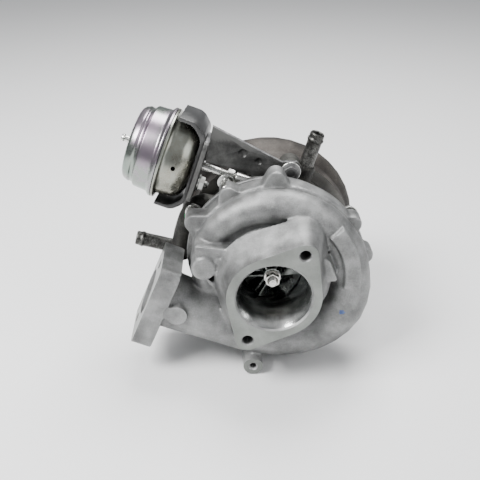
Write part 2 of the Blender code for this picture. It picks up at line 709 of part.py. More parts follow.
def backplate(root, material):
    bore = FLINGER_RADIUS + SLIDE_FIT
    rim_front = FLANGE_BACK + FIT
    web_back = BACKPLATE_FRONT + BACKPLATE_WEB
    turned("compressor_backplate", [
        (BACKPLATE_FRONT, bore), (BACKPLATE_FRONT, RECESS_RADIUS - FIT),
        (rim_front, RECESS_RADIUS - FIT), (rim_front, BACKPLATE_RIM_RADIUS),
        (BACKPLATE_BACK, BACKPLATE_RIM_RADIUS), (BACKPLATE_BACK, 40.0), (web_back, 38.0),
        (web_back, bore),
    ], root, material)


def thrust_bearing(root, material):
    front = HOUSING_FRONT + FIT
    bore = FLINGER_RADIUS + SLIDE_FIT
    back = front + THRUST_PLATE_THICKNESS
    turned("thrust_bearing", [
        (front, bore), (front, THRUST_PLATE_RADIUS), (back, THRUST_PLATE_RADIUS), (back, bore),
    ], root, material, MEDIUM_STEPS)


def bearing_housing(root, shoulder, crank_place, material):
    hub_bore = SEAL_LAND_RADIUS + SLIDE_FIT
    bore_end = HOT_FLANGE_FRONT + 2.8
    pocket = THRUST_PLATE_RADIUS + FIT
    pocket_back = HOUSING_FRONT + 2.0 * FIT + THRUST_PLATE_THICKNESS
    housing = turned("bearing_housing", [
        (HOUSING_FRONT, pocket), (HOUSING_FRONT, HOUSING_FLANGE_RADIUS),
        (HOUSING_FLANGE_BACK, HOUSING_FLANGE_RADIUS),
        (HOUSING_FLANGE_BACK + 1.0, HOUSING_CORE_RADIUS),
        (HOT_FLANGE_FRONT, HOUSING_CORE_RADIUS - 2.0),
        (HOT_FLANGE_FRONT, HOT_FLANGE_RADIUS), (HOT_FLANGE_BACK, HOT_FLANGE_RADIUS),
        (HOT_FLANGE_BACK, SEAL_HUB_RADIUS), (HOT_FLANGE_BACK + SEAL_HUB_LENGTH, SEAL_HUB_RADIUS),
        (HOT_FLANGE_BACK + SEAL_HUB_LENGTH, hub_bore), (bore_end, hub_bore),
        (bore_end, BEARING_BORE_RADIUS), (shoulder, BEARING_BORE_RADIUS),
        (shoulder, COLLAR_RADIUS + 1.0), (pocket_back, COLLAR_RADIUS + 1.0),
        (pocket_back, pocket),
    ], root, material)
    crank_boss = turned("crank_boss", cylinder_profile(LEVER_FRONT + LEVER_THICKNESS + 1.0,
                        HOT_FLANGE_FRONT + 2.0, 8.0), root, None, SMALL_STEPS, True)
    crank_boss.location = (crank_place[0] * MM, 0.0, crank_place[1] * MM)
    solids = [crank_boss]
    bolt_boss = turned("bracket_boss", cylinder_profile(BRACKET_FRONT + BRACKET_THICKNESS + FIT,
                       HOT_FLANGE_FRONT + 1.7, 7.5), root, None, SMALL_STEPS, True)
    bolt_boss.location = (BRACKET_BOLT[0] * MM, 0.0, BRACKET_BOLT[1] * MM)
    solids.append(bolt_boss)
    base, tip = Vector(RIGHT_PIPE[0]), Vector(RIGHT_PIPE[1])
    inward = (base - tip).normalized()
    solids.append(rod_between("right_boss", base + inward * 38.0, base + inward * 2.0, 7.2, root,
                              helper=True))
    web = [(6.0, 24.0), (18.0, 20.0), (21.0, 50.0), (17.0, 58.0), (8.0, 60.0)]
    solids.append(prism("bracket_web", web, BRACKET_FRONT + 4.0, HOT_FLANGE_FRONT + 2.6, root, helper=True))
    solids.append(coolant_passage(root))
    drain = [(-15.0, -20.0), (15.0, -20.0), (20.0, -50.0), (-20.0, -50.0)]
    solids.append(prism("drain_neck", drain, DRAIN_FRONT, HOT_FLANGE_FRONT - 1.0, root,
                        helper=True))
    combine(housing, solids, "UNION", "MANIFOLD")
    cutters = [
        drill("crank_bore", crank_place, 5.0 + FIT, LEVER_FRONT, HOT_FLANGE_BACK + 2.0, root),
        drill("bracket_thread", BRACKET_BOLT, BOLT_RADIUS + FIT, BRACKET_FRONT, BOLT_END + 2.0, root),
        rod_between("right_socket", base + inward * (PIPE_DEPTH + FIT), base - inward * 12.0,
                    PIPE_RADIUS + FIT, root, helper=True),
    ]
    left_base, left_tip = Vector(LEFT_PIPE[0]), Vector(LEFT_PIPE[1])
    outward = (left_tip - left_base).normalized()
    cutters.append(rod_between("left_socket", left_base - outward * FIT,
                               left_base + outward * 20.0, PIPE_RADIUS + FIT, root, helper=True))
    middle = (DRAIN_FRONT + HOT_FLANGE_FRONT - 1.0) / 2.0
    cutters.append(rod_between("drain_hole", (0.0, middle, -52.0), (0.0, middle, -24.0),
                               DRAIN_BORE_RADIUS, root, helper=True))
    combine(housing, cutters, "DIFFERENCE", "MANIFOLD")
    return housing


def coolant_passage(root):
    """The cast pipe that curves down the left side of the bearing housing to the left pipe stub."""
    depth = LEFT_PIPE[0][1]
    route = [(-18.0, depth, 12.0), (-38.0, depth, 27.0), (-48.0, depth, 31.5),
             (-56.0, depth, 27.0), (-61.5, depth, 15.0), (-65.0, depth, 2.0),
             (-67.5, depth, -13.0)]
    sections = []
    for index, place in enumerate(route):
        before = Vector(route[max(index - 1, 0)])
        after = Vector(route[min(index + 1, len(route) - 1)])
        heading = (after - before).normalized()
        across = (-heading[2], heading[0])
        sections.append(duct_section(place, across, 7.5, 14))
    mesh_builder = bmesh.new()
    add_loft(mesh_builder, sections)
    return finish_mesh("coolant_passage", mesh_builder, root, helper=True)


def coolant_pipes(root, material):
    for name, (base, tip) in (("coolant_pipe_right", RIGHT_PIPE), ("coolant_pipe_left", LEFT_PIPE)):
        base = Vector(base)
        inward = (base - Vector(tip)).normalized()
        start = base + inward * PIPE_DEPTH if name.endswith("right") else base
        rod_between(name, start, tip, PIPE_RADIUS, root, material, PIPE_BORE_RADIUS)


def heat_shield(root, material):
    outer = NOZZLE_RING_INNER - FIT
    back = TURBINE_BACK - 1.6
    turned("heat_shield", [
        (back - 0.8, SEAL_LAND_RADIUS + 1.5), (back, SEAL_LAND_RADIUS + 1.5), (back, outer),
        (HOT_FLANGE_BACK + FIT, outer), (HOT_FLANGE_BACK + FIT, outer - 0.8),
        (back - 0.8, outer - 0.8),
    ], root, material)


def nozzle_ring(root, material):
    ring = turned("nozzle_ring", [
        (NOZZLE_FRONT, NOZZLE_RING_INNER), (NOZZLE_FRONT, NOZZLE_RING_OUTER),
        (NOZZLE_BACK, NOZZLE_RING_OUTER), (NOZZLE_BACK, NOZZLE_RING_INNER),
    ], root, material)
    holes = []
    for index in range(VANES):
        place = polar(VANE_CIRCLE, VANE_FIRST_ANGLE + 360.0 / VANES * index)
        holes.append(drill(f"stem_hole_{index}", place, VANE_STEM_RADIUS + FIT,
                           NOZZLE_FRONT - 1.0, NOZZLE_BACK + 1.0, root))
    combine(ring, holes, "DIFFERENCE")
    return ring


def arm_outline(reach, boss_radius):
    """A crank arm along +X: a round boss at the origin, a narrow neck and a round tip."""
    tip_turn = 180.0 - math.degrees(math.asin(ARM_NECK / ARM_TIP_RADIUS))
    boss_turn = math.degrees(math.asin(ARM_NECK / boss_radius))
    return (
        arc((reach, 0.0), ARM_TIP_RADIUS, -tip_turn, tip_turn, 6)
        + arc((0.0, 0.0), boss_radius, boss_turn, 360.0 - boss_turn, 7)
    )


def vane_outline():
    """A lens-shaped vane along +X with its pivot a little ahead of the middle."""
    half = VANE_CHORD / 2.0
    shift = 0.08 * VANE_CHORD
    points = []
    for side in (1.0, -1.0):
        for step in range(6):
            share = step / 6.0
            along = half - VANE_CHORD * share if side > 0 else -half + VANE_CHORD * share
            thick = VANE_THICKNESS / 2.0 * math.sqrt(max(1.0 - (along / half) ** 2, 0.0))
            points.append((along - shift, side * thick))
    return points


def vanes(root, material):
    """Each vane, its stem and its arm turn as one piece on the stem's axis."""
    for index in range(VANES):
        angle = VANE_FIRST_ANGLE + 360.0 / VANES * index
        x, z = polar(VANE_CIRCLE, angle)
        hinge = bpy.data.objects.new(f"vane_hinge_{index + 1}", None)
        bpy.context.scene.collection.objects.link(hinge)
        hinge.parent = root
        hinge.location = (x * MM, 0.0, z * MM)
        hinge.rotation_euler = (0.0, -math.radians(angle), 0.0)
        arm = arm_outline(ARM_REACH, ARM_BOSS_RADIUS)
        vane = prism(f"vane_{index + 1}", arm, ARM_FRONT, ARM_FRONT + ARM_THICKNESS, hinge,
                     material)
        stem = turned(f"vane_stem_{index + 1}", cylinder_profile(ARM_FRONT + 1.0,
                      NOZZLE_BACK + FIT + 1.0, VANE_STEM_RADIUS), hinge, None, 10, True)
        foil = prism(f"vane_foil_{index + 1}", vane_outline(), NOZZLE_BACK + FIT,
                     NOZZLE_BACK + FIT + VANE_HEIGHT, hinge, helper=True)
        foil.rotation_euler = (0.0, math.radians(VANE_ANGLE), 0.0)
        combine(vane, [stem, foil], "UNION")


def unison_ring(root, crank_place, crank_angle, material):
    ring = turned("unison_ring", [
        (ARM_FRONT, UNISON_INNER), (ARM_FRONT, UNISON_OUTER),
        (ARM_FRONT + ARM_THICKNESS, UNISON_OUTER), (ARM_FRONT + ARM_THICKNESS, UNISON_INNER),
    ], root, material)
    crank_radius = math.hypot(*crank_place)
    lobe = turned("unison_lobe", cylinder_profile(ARM_FRONT, ARM_FRONT + ARM_THICKNESS, 9.0),
                  root, None, SMALL_STEPS, True)
    lobe_place = polar(crank_radius + 3.5, crank_angle)
    lobe.location = (lobe_place[0] * MM, 0.0, lobe_place[1] * MM)
    combine(ring, [lobe], "UNION")
    front = ARM_FRONT - 1.0
    back = ARM_FRONT + ARM_THICKNESS + 1.0
    cutters = [drill("crank_pocket", crank_place, 6.4, front, back, root)]
    half = ARM_TIP_RADIUS + SLIDE_FIT
    tip_reach = crank_radius + CRANK_ARM_REACH + ARM_TIP_RADIUS + 0.4
    slots = [(crank_angle, crank_radius, tip_reach)]
    for index in range(VANES):
        angle = VANE_FIRST_ANGLE + 360.0 / VANES * index
        slots.append((angle, UNISON_INNER - 3.0, VANE_CIRCLE + ARM_REACH + ARM_TIP_RADIUS + 0.5))
    inner_cut = cylinder_profile(front, back, UNISON_INNER)
    cutters.append(turned("unison_bore", inner_cut, root, helper=True))
    for index, (angle, inner, outer) in enumerate(slots):
        outline = [(inner, -half), (outer, -half), (outer, half), (inner, half)]
        slot = prism(f"unison_slot_{index}", outline, front, back, root, helper=True)
        slot.rotation_euler = (0.0, -math.radians(angle), 0.0)
        cutters.append(slot)
    combine(ring, cutters, "DIFFERENCE")
    return ring


def crank(root, crank_place, crank_angle, lever_angle, metals):
    """The crank shaft with its inner arm, the outer lever on it and the lever's pin."""
    hinge = bpy.data.objects.new("crank_hinge", None)
    bpy.context.scene.collection.objects.link(hinge)
    hinge.parent = root
    hinge.location = (crank_place[0] * MM, 0.0, crank_place[1] * MM)
    shaft = turned("crank_shaft", cylinder_profile(LEVER_FRONT - 1.2, ARM_FRONT + ARM_THICKNESS,
                   SHAFT_THIN_RADIUS), hinge, metals["bright_steel"], SMALL_STEPS)
    arm = prism("crank_inner_arm", arm_outline(CRANK_ARM_REACH, 4.0), ARM_FRONT,
                ARM_FRONT + ARM_THICKNESS, hinge, helper=True)
    arm.rotation_euler = (0.0, -math.radians(crank_angle), 0.0)
    combine(shaft, [arm], "UNION")
    outline = (
        arc((LEVER_LENGTH, 0.0), 4.6, -80.0, 80.0, 8)
        + arc((0.0, 0.0), 6.0, 80.0, 280.0, 10)
    )
    back = LEVER_FRONT + LEVER_THICKNESS
    lever = prism("crank_lever", outline, LEVER_FRONT, back, hinge, metals["dark_steel"])
    lever.rotation_euler = (0.0, -math.radians(lever_angle), 0.0)
    holes = [
        drill("lever_bore", (0.0, 0.0), SHAFT_THIN_RADIUS + FIT, LEVER_FRONT - 1.0, back + 1.0,
              lever),
        drill("lever_pin_hole", (LEVER_LENGTH, 0.0), CRANK_PIN_RADIUS + FIT, LEVER_FRONT - 1.0,
              back + 1.0, lever),
    ]
    combine(lever, holes, "DIFFERENCE")
    x, z = polar(LEVER_LENGTH, lever_angle)
    eye_half = EYE_THICKNESS / 2.0
    pin = turned("crank_pin", [
        (ROD_PIN[1] - eye_half - 1.2, 0.0), (ROD_PIN[1] - eye_half - 1.2, CRANK_PIN_RADIUS),
        (back, CRANK_PIN_RADIUS), (back, 0.0),
    ], hinge, metals["bright_steel"], SMALL_STEPS)
    pin.location = (x * MM, 0.0, z * MM)
    bush = turned("crank_bush", [
        (back + 0.4, SHAFT_THIN_RADIUS + FIT), (back + 0.4, 5.0),
        (HOT_FLANGE_BACK - 0.2, 5.0), (HOT_FLANGE_BACK - 0.2, SHAFT_THIN_RADIUS + FIT),
    ], root, metals["bronze"], SMALL_STEPS)
    bush.location = (crank_place[0] * MM, 0.0, crank_place[1] * MM)


def actuator_turn():
    """The actuator's axes: Y along the rod towards its pin, Z across it and mostly up."""
    forward = Vector(ROD_DIRECTION).normalized()
    up = Vector((-ROD_DIRECTION[2], 0.0, ROD_DIRECTION[0])).normalized()
    up = (up - forward * up.dot(forward)).normalized()
    side = forward.cross(up)
    return Matrix((side, forward, up)).transposed()


def actuator_frame(root):
    turn = actuator_turn().to_4x4()
    empty = bpy.data.objects.new("actuator_frame", None)
    bpy.context.scene.collection.objects.link(empty)
    empty.parent = root
    empty.matrix_local = Matrix.Translation(Vector(ROD_PIN) * MM) @ turn
    return empty


def actuator(frame, metals):
    rim = -CAN_RIM_DISTANCE
    front_face = rim + CAN_FRONT_LENGTH
    wall = CAN_WALL
    front_r = CAN_FRONT_RADIUS
    turned("actuator_can_front", [
        (rim + 0.4, CAN_RIM_RADIUS), (rim + 2.2, CAN_RIM_RADIUS), (rim + 2.6, front_r + 0.6),
        (rim + 4.0, front_r), (front_face - 7.0, front_r - 0.8), (front_face - 5.0, front_r - 2.0),
        (front_face - 0.8, front_r - 7.5), (front_face, front_r - 9.0),
        (front_face, ROD_RADIUS + 1.6), (front_face - wall, ROD_RADIUS + 1.6),
        (front_face - wall, front_r - 9.0), (front_face - 5.0 - wall, front_r - 2.0 - wall),
        (rim + 4.0, front_r - wall), (rim + 0.4, front_r - wall),
    ], frame, metals["plated_steel"])
    rear_r = CAN_REAR_RADIUS
    end = rim - CAN_REAR_LENGTH
    turned("actuator_can_rear", [
        (rim - 1.6, CAN_RIM_RADIUS + 0.2), (rim + 0.1 - FIT, CAN_RIM_RADIUS + 0.2),
        (rim + 0.1 - FIT, rear_r - wall), (rim - 14.0, rear_r - wall - 1.0),
        (end + wall + 5.0, rear_r - 4.4), (end + wall, rear_r - 6.5), (end + wall, 2.4),
        (end, 2.4), (end, rear_r - 6.0), (end + 1.4, rear_r - 4.4), (end + 6.6, rear_r - 3.2),
        (end + 8.0, rear_r - 2.2), (end + 9.2, rear_r - 0.8), (rim - 4.0, rear_r + 0.4),
        (rim - 2.6, rear_r + 1.6),
    ], frame, metals["plated_steel"])
    turned("vacuum_nipple", [
        (end + wall + 1.5, 0.9), (end + wall + 1.5, 2.1), (end - 0.6, 2.1), (end - 0.6, 3.6),
        (end - 2.0, 3.6), (end - 2.4, 2.4), (end - 6.0, 2.2), (end - 7.0, 2.9), (end - 8.6, 2.3),
        (end - 8.6, 0.9),
    ], frame, metals["plated_steel"], SMALL_STEPS)
    piston_front = rim + 6.5
    turned("actuator_piston", [
        (piston_front, ROD_RADIUS + FIT), (piston_front, 15.0), (piston_front - 12.0, 15.6),
        (piston_front - 12.0, 14.4), (piston_front - 1.2, 13.8),
        (piston_front - 1.2, ROD_RADIUS + FIT),
    ], frame, metals["plated_steel"], MEDIUM_STEPS)
    hub = ROD_RADIUS + FIT
    outer = front_r - wall - 0.6
    turned("actuator_diaphragm", [
        (piston_front + 0.4, hub), (piston_front + 0.4, 16.2), (rim + 1.6, 16.2),
        (rim + 0.7, 21.4), (rim + 1.6, outer), (rim + 2.7, outer), (rim + 1.8, 21.6),
        (rim + 2.7, 17.3), (piston_front + 1.6, 17.3), (piston_front + 1.6, hub),
    ], frame, metals["rubber"], MEDIUM_STEPS)
    spring(frame, end + wall + 1.2, piston_front - 2.2, metals["spring_steel"])
    rod_start = piston_front - 3.0
    turned("actuator_rod", cylinder_profile(rod_start, -EYE_RADIUS - 10.0, ROD_RADIUS), frame,
           metals["plated_steel"], SMALL_STEPS)
    lock = -EYE_RADIUS - 9.6
    hex_nut("rod_locknut", 5.4, ROD_RADIUS + FIT, lock - 6.0, lock - 1.6, frame,
            metals["bright_zinc"])
    rod_end(frame, lock, metals["bright_zinc"])


def spring(frame, start, end, material):
    """A coil from the can's rear wall to the piston, as a round wire swept along a helix."""
    turns, wire, coil_radius, sides, per_turn = 4.0, 1.1, 11.4, 5, 12
    sections = []
    total = int(turns * per_turn)
    lead = (end - start - 2.0 * wire) / total
    for step in range(total + 1):
        angle = 2.0 * math.pi * step / per_turn
        centre = Vector((coil_radius * math.cos(angle), start + wire + lead * step,
                         coil_radius * math.sin(angle)))
        outward = Vector((math.cos(angle), 0.0, math.sin(angle)))
        section = []
        for corner in range(sides):
            turn = 2.0 * math.pi * corner / sides
            section.append(centre + outward * wire * math.cos(turn)
                           + Vector((0.0, wire * math.sin(turn), 0.0)))
        sections.append(section)
    mesh_builder = bmesh.new()
    add_loft(mesh_builder, sections)
    return finish_mesh("actuator_spring", mesh_builder, frame, material)


def rod_end(frame, lock, material):
    """A threaded socket that ends in an eye; the eye's bore follows the shaft's direction."""
    socket = turned("rod_end", [
        (lock, 0.0), (lock, 4.2), (-EYE_RADIUS + 1.5, 4.2), (-EYE_RADIUS + 1.5, 0.0),
    ], frame, material, SMALL_STEPS)
    turn_back = actuator_turn().inverted().to_4x4()
    half = EYE_THICKNESS / 2.0
    eye = turned("rod_eye", cylinder_profile(-half, half, EYE_RADIUS), frame, None,
                 SMALL_STEPS, True)
    eye.matrix_local = turn_back
    hole = turned("rod_eye_hole", cylinder_profile(-half - 3.0, half + 3.0,
                  CRANK_PIN_RADIUS + EYE_CLEARANCE), frame, None, SMALL_STEPS, True)
    hole.matrix_local = turn_back
    combine(socket, [eye], "UNION")
    combine(socket, [hole], "DIFFERENCE")
    return socket


def cradle_and_bracket(frame, root, metals):
    """The black strap round the can's front half, the bracket behind it, its studs and nuts."""
    face = -CAN_RIM_DISTANCE + CAN_FRONT_LENGTH
    base_front = face + 0.3
    base_back = base_front + CRADLE_THICKNESS
    half_width = CRADLE_WIDTH / 2.0
    reach = CAN_FRONT_RADIUS + CRADLE_GAP
    arm_start = -CAN_RIM_DISTANCE + 4.0
    shoulder = 7.0
    thick = CRADLE_THICKNESS
    outer = [
        (arm_start, reach + thick), (base_back - shoulder, reach + thick),
        (base_back, reach + thick - shoulder), (base_back, shoulder - reach - thick),
        (base_back - shoulder, -reach - thick), (arm_start, -reach - thick),
    ]
    inner = [
        (arm_start, -reach), (base_front - shoulder, -reach), (base_front, shoulder - reach),
        (base_front, reach - shoulder), (base_front - shoulder, reach), (arm_start, reach),
    ]
    mesh_builder = bmesh.new()
    rings = []
    for across in (-half_width, half_width):
        rings.append([mesh_builder.verts.new(Vector((across, along, up)) * MM)
                      for along, up in outer + inner])
    skin(mesh_builder, rings)
    mesh_builder.faces.new(rings[0])
    mesh_builder.faces.new(rings[1])
    cradle = finish_mesh("actuator_cradle", mesh_builder, frame, metals["black_steel"])
    holes = [drill("cradle_rod_hole", (0.0, 0.0), ROD_RADIUS + 2.0, base_front - 1.0,
                   base_back + 1.0, frame)]
    flange_front = base_back + FIT
    flange_back = flange_front + BRACKET_THICKNESS
    for sign, name in ((1.0, "upper"), (-1.0, "lower")):
        place = (STUD_SIDE, sign * STUD_SPREAD)
        holes.append(drill(f"cradle_hole_{name}", place, BOLT_RADIUS + FIT,
                           base_front - 1.0, base_back + 1.0, frame))
        stud = turned(f"can_stud_{name}", cylinder_profile(face + 0.3, flange_back + 8.0,
                      BOLT_RADIUS), frame, metals["bright_zinc"], SMALL_STEPS)
        stud.location = (STUD_SIDE * MM, 0.0, sign * STUD_SPREAD * MM)
        nut, nut_hole = hex_nut(f"can_nut_{name}", 5.6, BOLT_RADIUS + FIT,
                                flange_back + FIT, flange_back + 4.8, frame,
                                metals["bright_zinc"])
        for item in (nut, nut_hole):
            item.location = (STUD_SIDE * MM, 0.0, sign * STUD_SPREAD * MM)
    combine(cradle, holes, "DIFFERENCE")
    bracket(frame, root, flange_front, flange_back, metals["dark_steel"])
    bolt_profile = [
        (BRACKET_FRONT - 4.6, 0.0), (BRACKET_FRONT - 4.6, 5.0), (BRACKET_FRONT - 1.6, 5.0),
        (BRACKET_FRONT - 1.6, 7.2), (BRACKET_FRONT - FIT, 7.2),
        (BRACKET_FRONT - FIT, BOLT_RADIUS), (BOLT_END, BOLT_RADIUS), (BOLT_END, 0.0),
    ]
    bolt = turned("bracket_bolt", bolt_profile, root, metals["bright_zinc"], SMALL_STEPS)
    bolt.location = (BRACKET_BOLT[0] * MM, 0.0, BRACKET_BOLT[1] * MM)


def bracket(frame, root, flange_front, flange_back, material):
    """A plate across the shaft's direction, with a bent flange that carries the can."""
    centre = BRACKET_BOLT
    outline = [(-40.0, 93.5), (7.0, 67.5)]
    outline += arc(centre, 8.0, 60.0, -90.0, 8)
    outline += [(-14.0, 57.5), (-46.0, 68.2)]
    plate = prism("actuator_bracket", outline, BRACKET_FRONT, BRACKET_FRONT + BRACKET_THICKNESS,
                  root, material)
    half = MOUNT_FLANGE_SIZE / 2.0
    flange = prism("bracket_flange", [(-11.0, -half), (19.0, -half), (19.0, half), (-11.0, half)],
                   flange_front, flange_back, frame, helper=True)
    holes = [
        drill("bracket_rod_hole", (0.0, 0.0), ROD_RADIUS + 2.0, flange_front - 1.0,
              flange_back + 1.0, frame),
        drill("bracket_bolt_hole", BRACKET_BOLT, BOLT_RADIUS + FIT, BRACKET_FRONT - 1.0,
              BRACKET_FRONT + BRACKET_THICKNESS + 1.0, root),
    ]
    for sign, name in ((1.0, "upper"), (-1.0, "lower")):
        holes.append(drill(f"bracket_hole_{name}", (STUD_SIDE, sign * STUD_SPREAD),
                           BOLT_RADIUS + FIT, flange_front - 1.0, flange_back + 1.0, frame))
    combine(plate, [flange], "UNION")
    combine(plate, holes, "DIFFERENCE")
    return plate


def turbine_stations(inset):
    """The turbine scroll shrinks from its inlet on the left, over the top, and round to the left."""
    stations = []
    steps = 15
    for step in range(steps + 1):
        angle = 185.0 - 330.0 * step / steps
        radius = HOT_SCROLL_LARGE + (HOT_SCROLL_SMALL - HOT_SCROLL_LARGE) * step / steps
        x, z = polar(SCROLL_CIRCLE, angle)
        stations.append(((x, HOT_SCROLL_DEPTH, z), polar(1.0, angle), radius - inset))
    return stations


def turbine_inlet_sections(inset):
    """The inlet duct, from the scroll's start down to the mounting face."""
    start = polar(SCROLL_CIRCLE, 180.0)
    foot_x, foot_y = INLET_FOOT_CENTRE
    sections = []
    for share in (0.0, 0.3, 0.6, 0.85, 1.0):
        x = start[0] + (foot_x - start[0]) * share ** 1.3
        y = HOT_SCROLL_DEPTH + (foot_y - HOT_SCROLL_DEPTH) * share
        z = HOT_INLET_TOP + (FLOOR - HOT_INLET_TOP) * share
        half_x = HOT_SCROLL_LARGE - inset + 5.0 * share
        half_y = HOT_SCROLL_LARGE - inset
        section = []
        for step in range(16):
            angle = 2.0 * math.pi * step / 16
            section.append((x + half_x * math.cos(angle), y + half_y * math.sin(angle), z))
        sections.append(section)
    return sections


def turbine_housing(root, material):
    face = HOT_FLANGE_BACK + FIT
    housing = swept("turbine_housing", turbine_stations(0.0), 16, 0.0, root, material)
    core = turned("turbine_core", [
        (face, 0.0), (face, HOT_FLANGE_OUTER),
        (NOZZLE_BACK + 3.0, HOT_FLANGE_OUTER), (HOT_SCROLL_DEPTH, 50.0),
        (HOT_SCROLL_DEPTH + 12.0, 44.0), (HOT_SCROLL_DEPTH + 16.0, OUTLET_NECK_RADIUS),
        (OUTLET_FACE - OUTLET_RING_THICKNESS, OUTLET_NECK_RADIUS),
        (OUTLET_FACE - OUTLET_RING_THICKNESS, OUTLET_RING_RADIUS),
        (OUTLET_FACE, OUTLET_RING_RADIUS), (OUTLET_FACE, 0.0),
    ], root, helper=True)
    mesh_builder = bmesh.new()
    add_loft(mesh_builder, turbine_inlet_sections(0.0))
    inlet = finish_mesh("turbine_inlet", mesh_builder, root, helper=True)
    foot_x, foot_y = INLET_FOOT_CENTRE
    half_x, half_y = INLET_FOOT_SIZE[0] / 2.0, INLET_FOOT_SIZE[1] / 2.0
    foot = prism("turbine_foot", [
        (foot_x - half_x, FLOOR), (foot_x + half_x, FLOOR),
        (foot_x + half_x, FLOOR + INLET_FOOT_THICKNESS),
        (foot_x - half_x, FLOOR + INLET_FOOT_THICKNESS),
    ], foot_y - half_y, foot_y + half_y, root, helper=True)
    combine(housing, [core, inlet, foot], "UNION", "MANIFOLD")
    passage = swept("turbine_passage", turbine_stations(HOT_WALL), PASSAGE_SIDES, 0.0, root,
                    helper=True)
    mesh_builder = bmesh.new()
    inside = turbine_inlet_sections(HOT_WALL + 2.0)
    inside.append([(x, y, z - 2.0) for x, y, z in inside[-1]])
    add_loft(mesh_builder, inside)
    inlet_passage = finish_mesh("turbine_inlet_passage", mesh_builder, root, helper=True)
    cavity = NOZZLE_RING_OUTER + FIT
    bore = turned("turbine_bore", [
        (face - 1.0, 0.0), (face - 1.0, HOT_CAVITY_RADIUS),
        (ARM_FRONT + ARM_THICKNESS + 0.6, HOT_CAVITY_RADIUS),
        (ARM_FRONT + ARM_THICKNESS + 0.6, cavity),
        (NOZZLE_BACK, cavity), (PASSAGE_BACK, SCROLL_CIRCLE),
        (PASSAGE_BACK, TURBINE_RADIUS + 0.5), (PASSAGE_BACK + 3.5, TURBINE_OUTLET_RADIUS + 0.6),
        (TURBINE_BLADE_END, TURBINE_OUTLET_RADIUS + 0.6), (OUTLET_FACE, OUTLET_CONE_RADIUS),
        (OUTLET_FACE + 1.0, OUTLET_CONE_RADIUS), (OUTLET_FACE + 1.0, 0.0),
    ], root, helper=True)
    cutters = [bore, passage, inlet_passage]
    for index, (side_x, side_y) in enumerate(((1, 1), (1, -1), (-1, 1), (-1, -1))):
        x = foot_x + side_x * INLET_FOOT_HOLES[0] / 2.0
        y = foot_y + side_y * INLET_FOOT_HOLES[1] / 2.0
        cutters.append(rod_between(f"foot_hole_{index}", (x, y, FLOOR - 1.0),
                                   (x, y, FLOOR + INLET_FOOT_THICKNESS + 1.0), FOOT_HOLE_RADIUS, root,
                                   helper=True))
    combine(housing, cutters, "DIFFERENCE", "MANIFOLD")
    return housing


def compressor_bolts(root, material):
    head_front = BACKPLATE_BACK + FIT
    profile = [
        (FLANGE_BACK - 8.0, 0.0), (FLANGE_BACK - 8.0, BOLT_RADIUS),
        (head_front, BOLT_RADIUS), (head_front, 6.0), (head_front + 1.4, 6.0),
        (head_front + 1.4, 4.8), (head_front + 4.8, 4.8), (head_front + 4.8, 0.0),
    ]
    for index, angle in enumerate(CLAMP_BOLT_ANGLES):
        x, z = polar(CLAMP_BOLT_CIRCLE, angle)
        bolt = turned(f"compressor_bolt_{index + 1}", profile, root, material, SMALL_STEPS)
        bolt.location = (x * MM, 0.0, z * MM)


def clear_scene():
    for item in list(bpy.data.objects):
        bpy.data.objects.remove(item, do_unlink=True)


def make_materials():
    return {
        "cast_aluminium": make_material("cast_aluminium", (0.56, 0.57, 0.57), 0.8, 0.5),
        "wheel_aluminium": make_material("wheel_aluminium", (0.45, 0.46, 0.47), 0.95, 0.3),
        "bearing_iron": make_material("bearing_iron", (0.12, 0.11, 0.10), 0.6, 0.6),
        "turbine_iron": make_material("turbine_iron", (0.14, 0.12, 0.10), 0.6, 0.65),
        "nickel_alloy": make_material("nickel_alloy", (0.30, 0.27, 0.24), 0.95, 0.4),
        "bright_steel": make_material("bright_steel", (0.62, 0.61, 0.58), 1.0, 0.25),
        "dark_steel": make_material("dark_steel", (0.10, 0.10, 0.10), 0.8, 0.45),
        "black_steel": make_material("black_steel", (0.02, 0.02, 0.02), 0.3, 0.5),
        "plated_steel": make_material("plated_steel", (0.55, 0.55, 0.50), 0.95, 0.3),
        "bright_zinc": make_material("bright_zinc", (0.70, 0.70, 0.68), 0.95, 0.3),
        "spring_steel": make_material("spring_steel", (0.40, 0.40, 0.40), 0.95, 0.35),
        "pipe_steel": make_material("pipe_steel", (0.20, 0.20, 0.19), 0.9, 0.4),
        "bronze": make_material("bronze", (0.60, 0.42, 0.22), 0.95, 0.35),
        "rubber": make_material("rubber", (0.03, 0.03, 0.03), 0.0, 0.7),
    }


def stand_on_floor(root):
    """Moves the root so that the origin is the bottom centre of the whole object's box."""
    bpy.context.view_layer.update()
    graph = bpy.context.evaluated_depsgraph_get()
    low = Vector((math.inf, math.inf, math.inf))
    high = Vector((-math.inf, -math.inf, -math.inf))
    for piece in bpy.context.scene.objects:
        if piece.type != "MESH" or piece.hide_render:
            continue
        evaluated = piece.evaluated_get(graph)
        mesh = evaluated.to_mesh()
        for vertex in mesh.vertices:
            place = evaluated.matrix_world @ vertex.co
            for axis in range(3):
                low[axis] = min(low[axis], place[axis])
                high[axis] = max(high[axis], place[axis])
        evaluated.to_mesh_clear()
    middle = (low + high) / 2.0
    root.location = (-middle[0], -middle[1], -low[2])


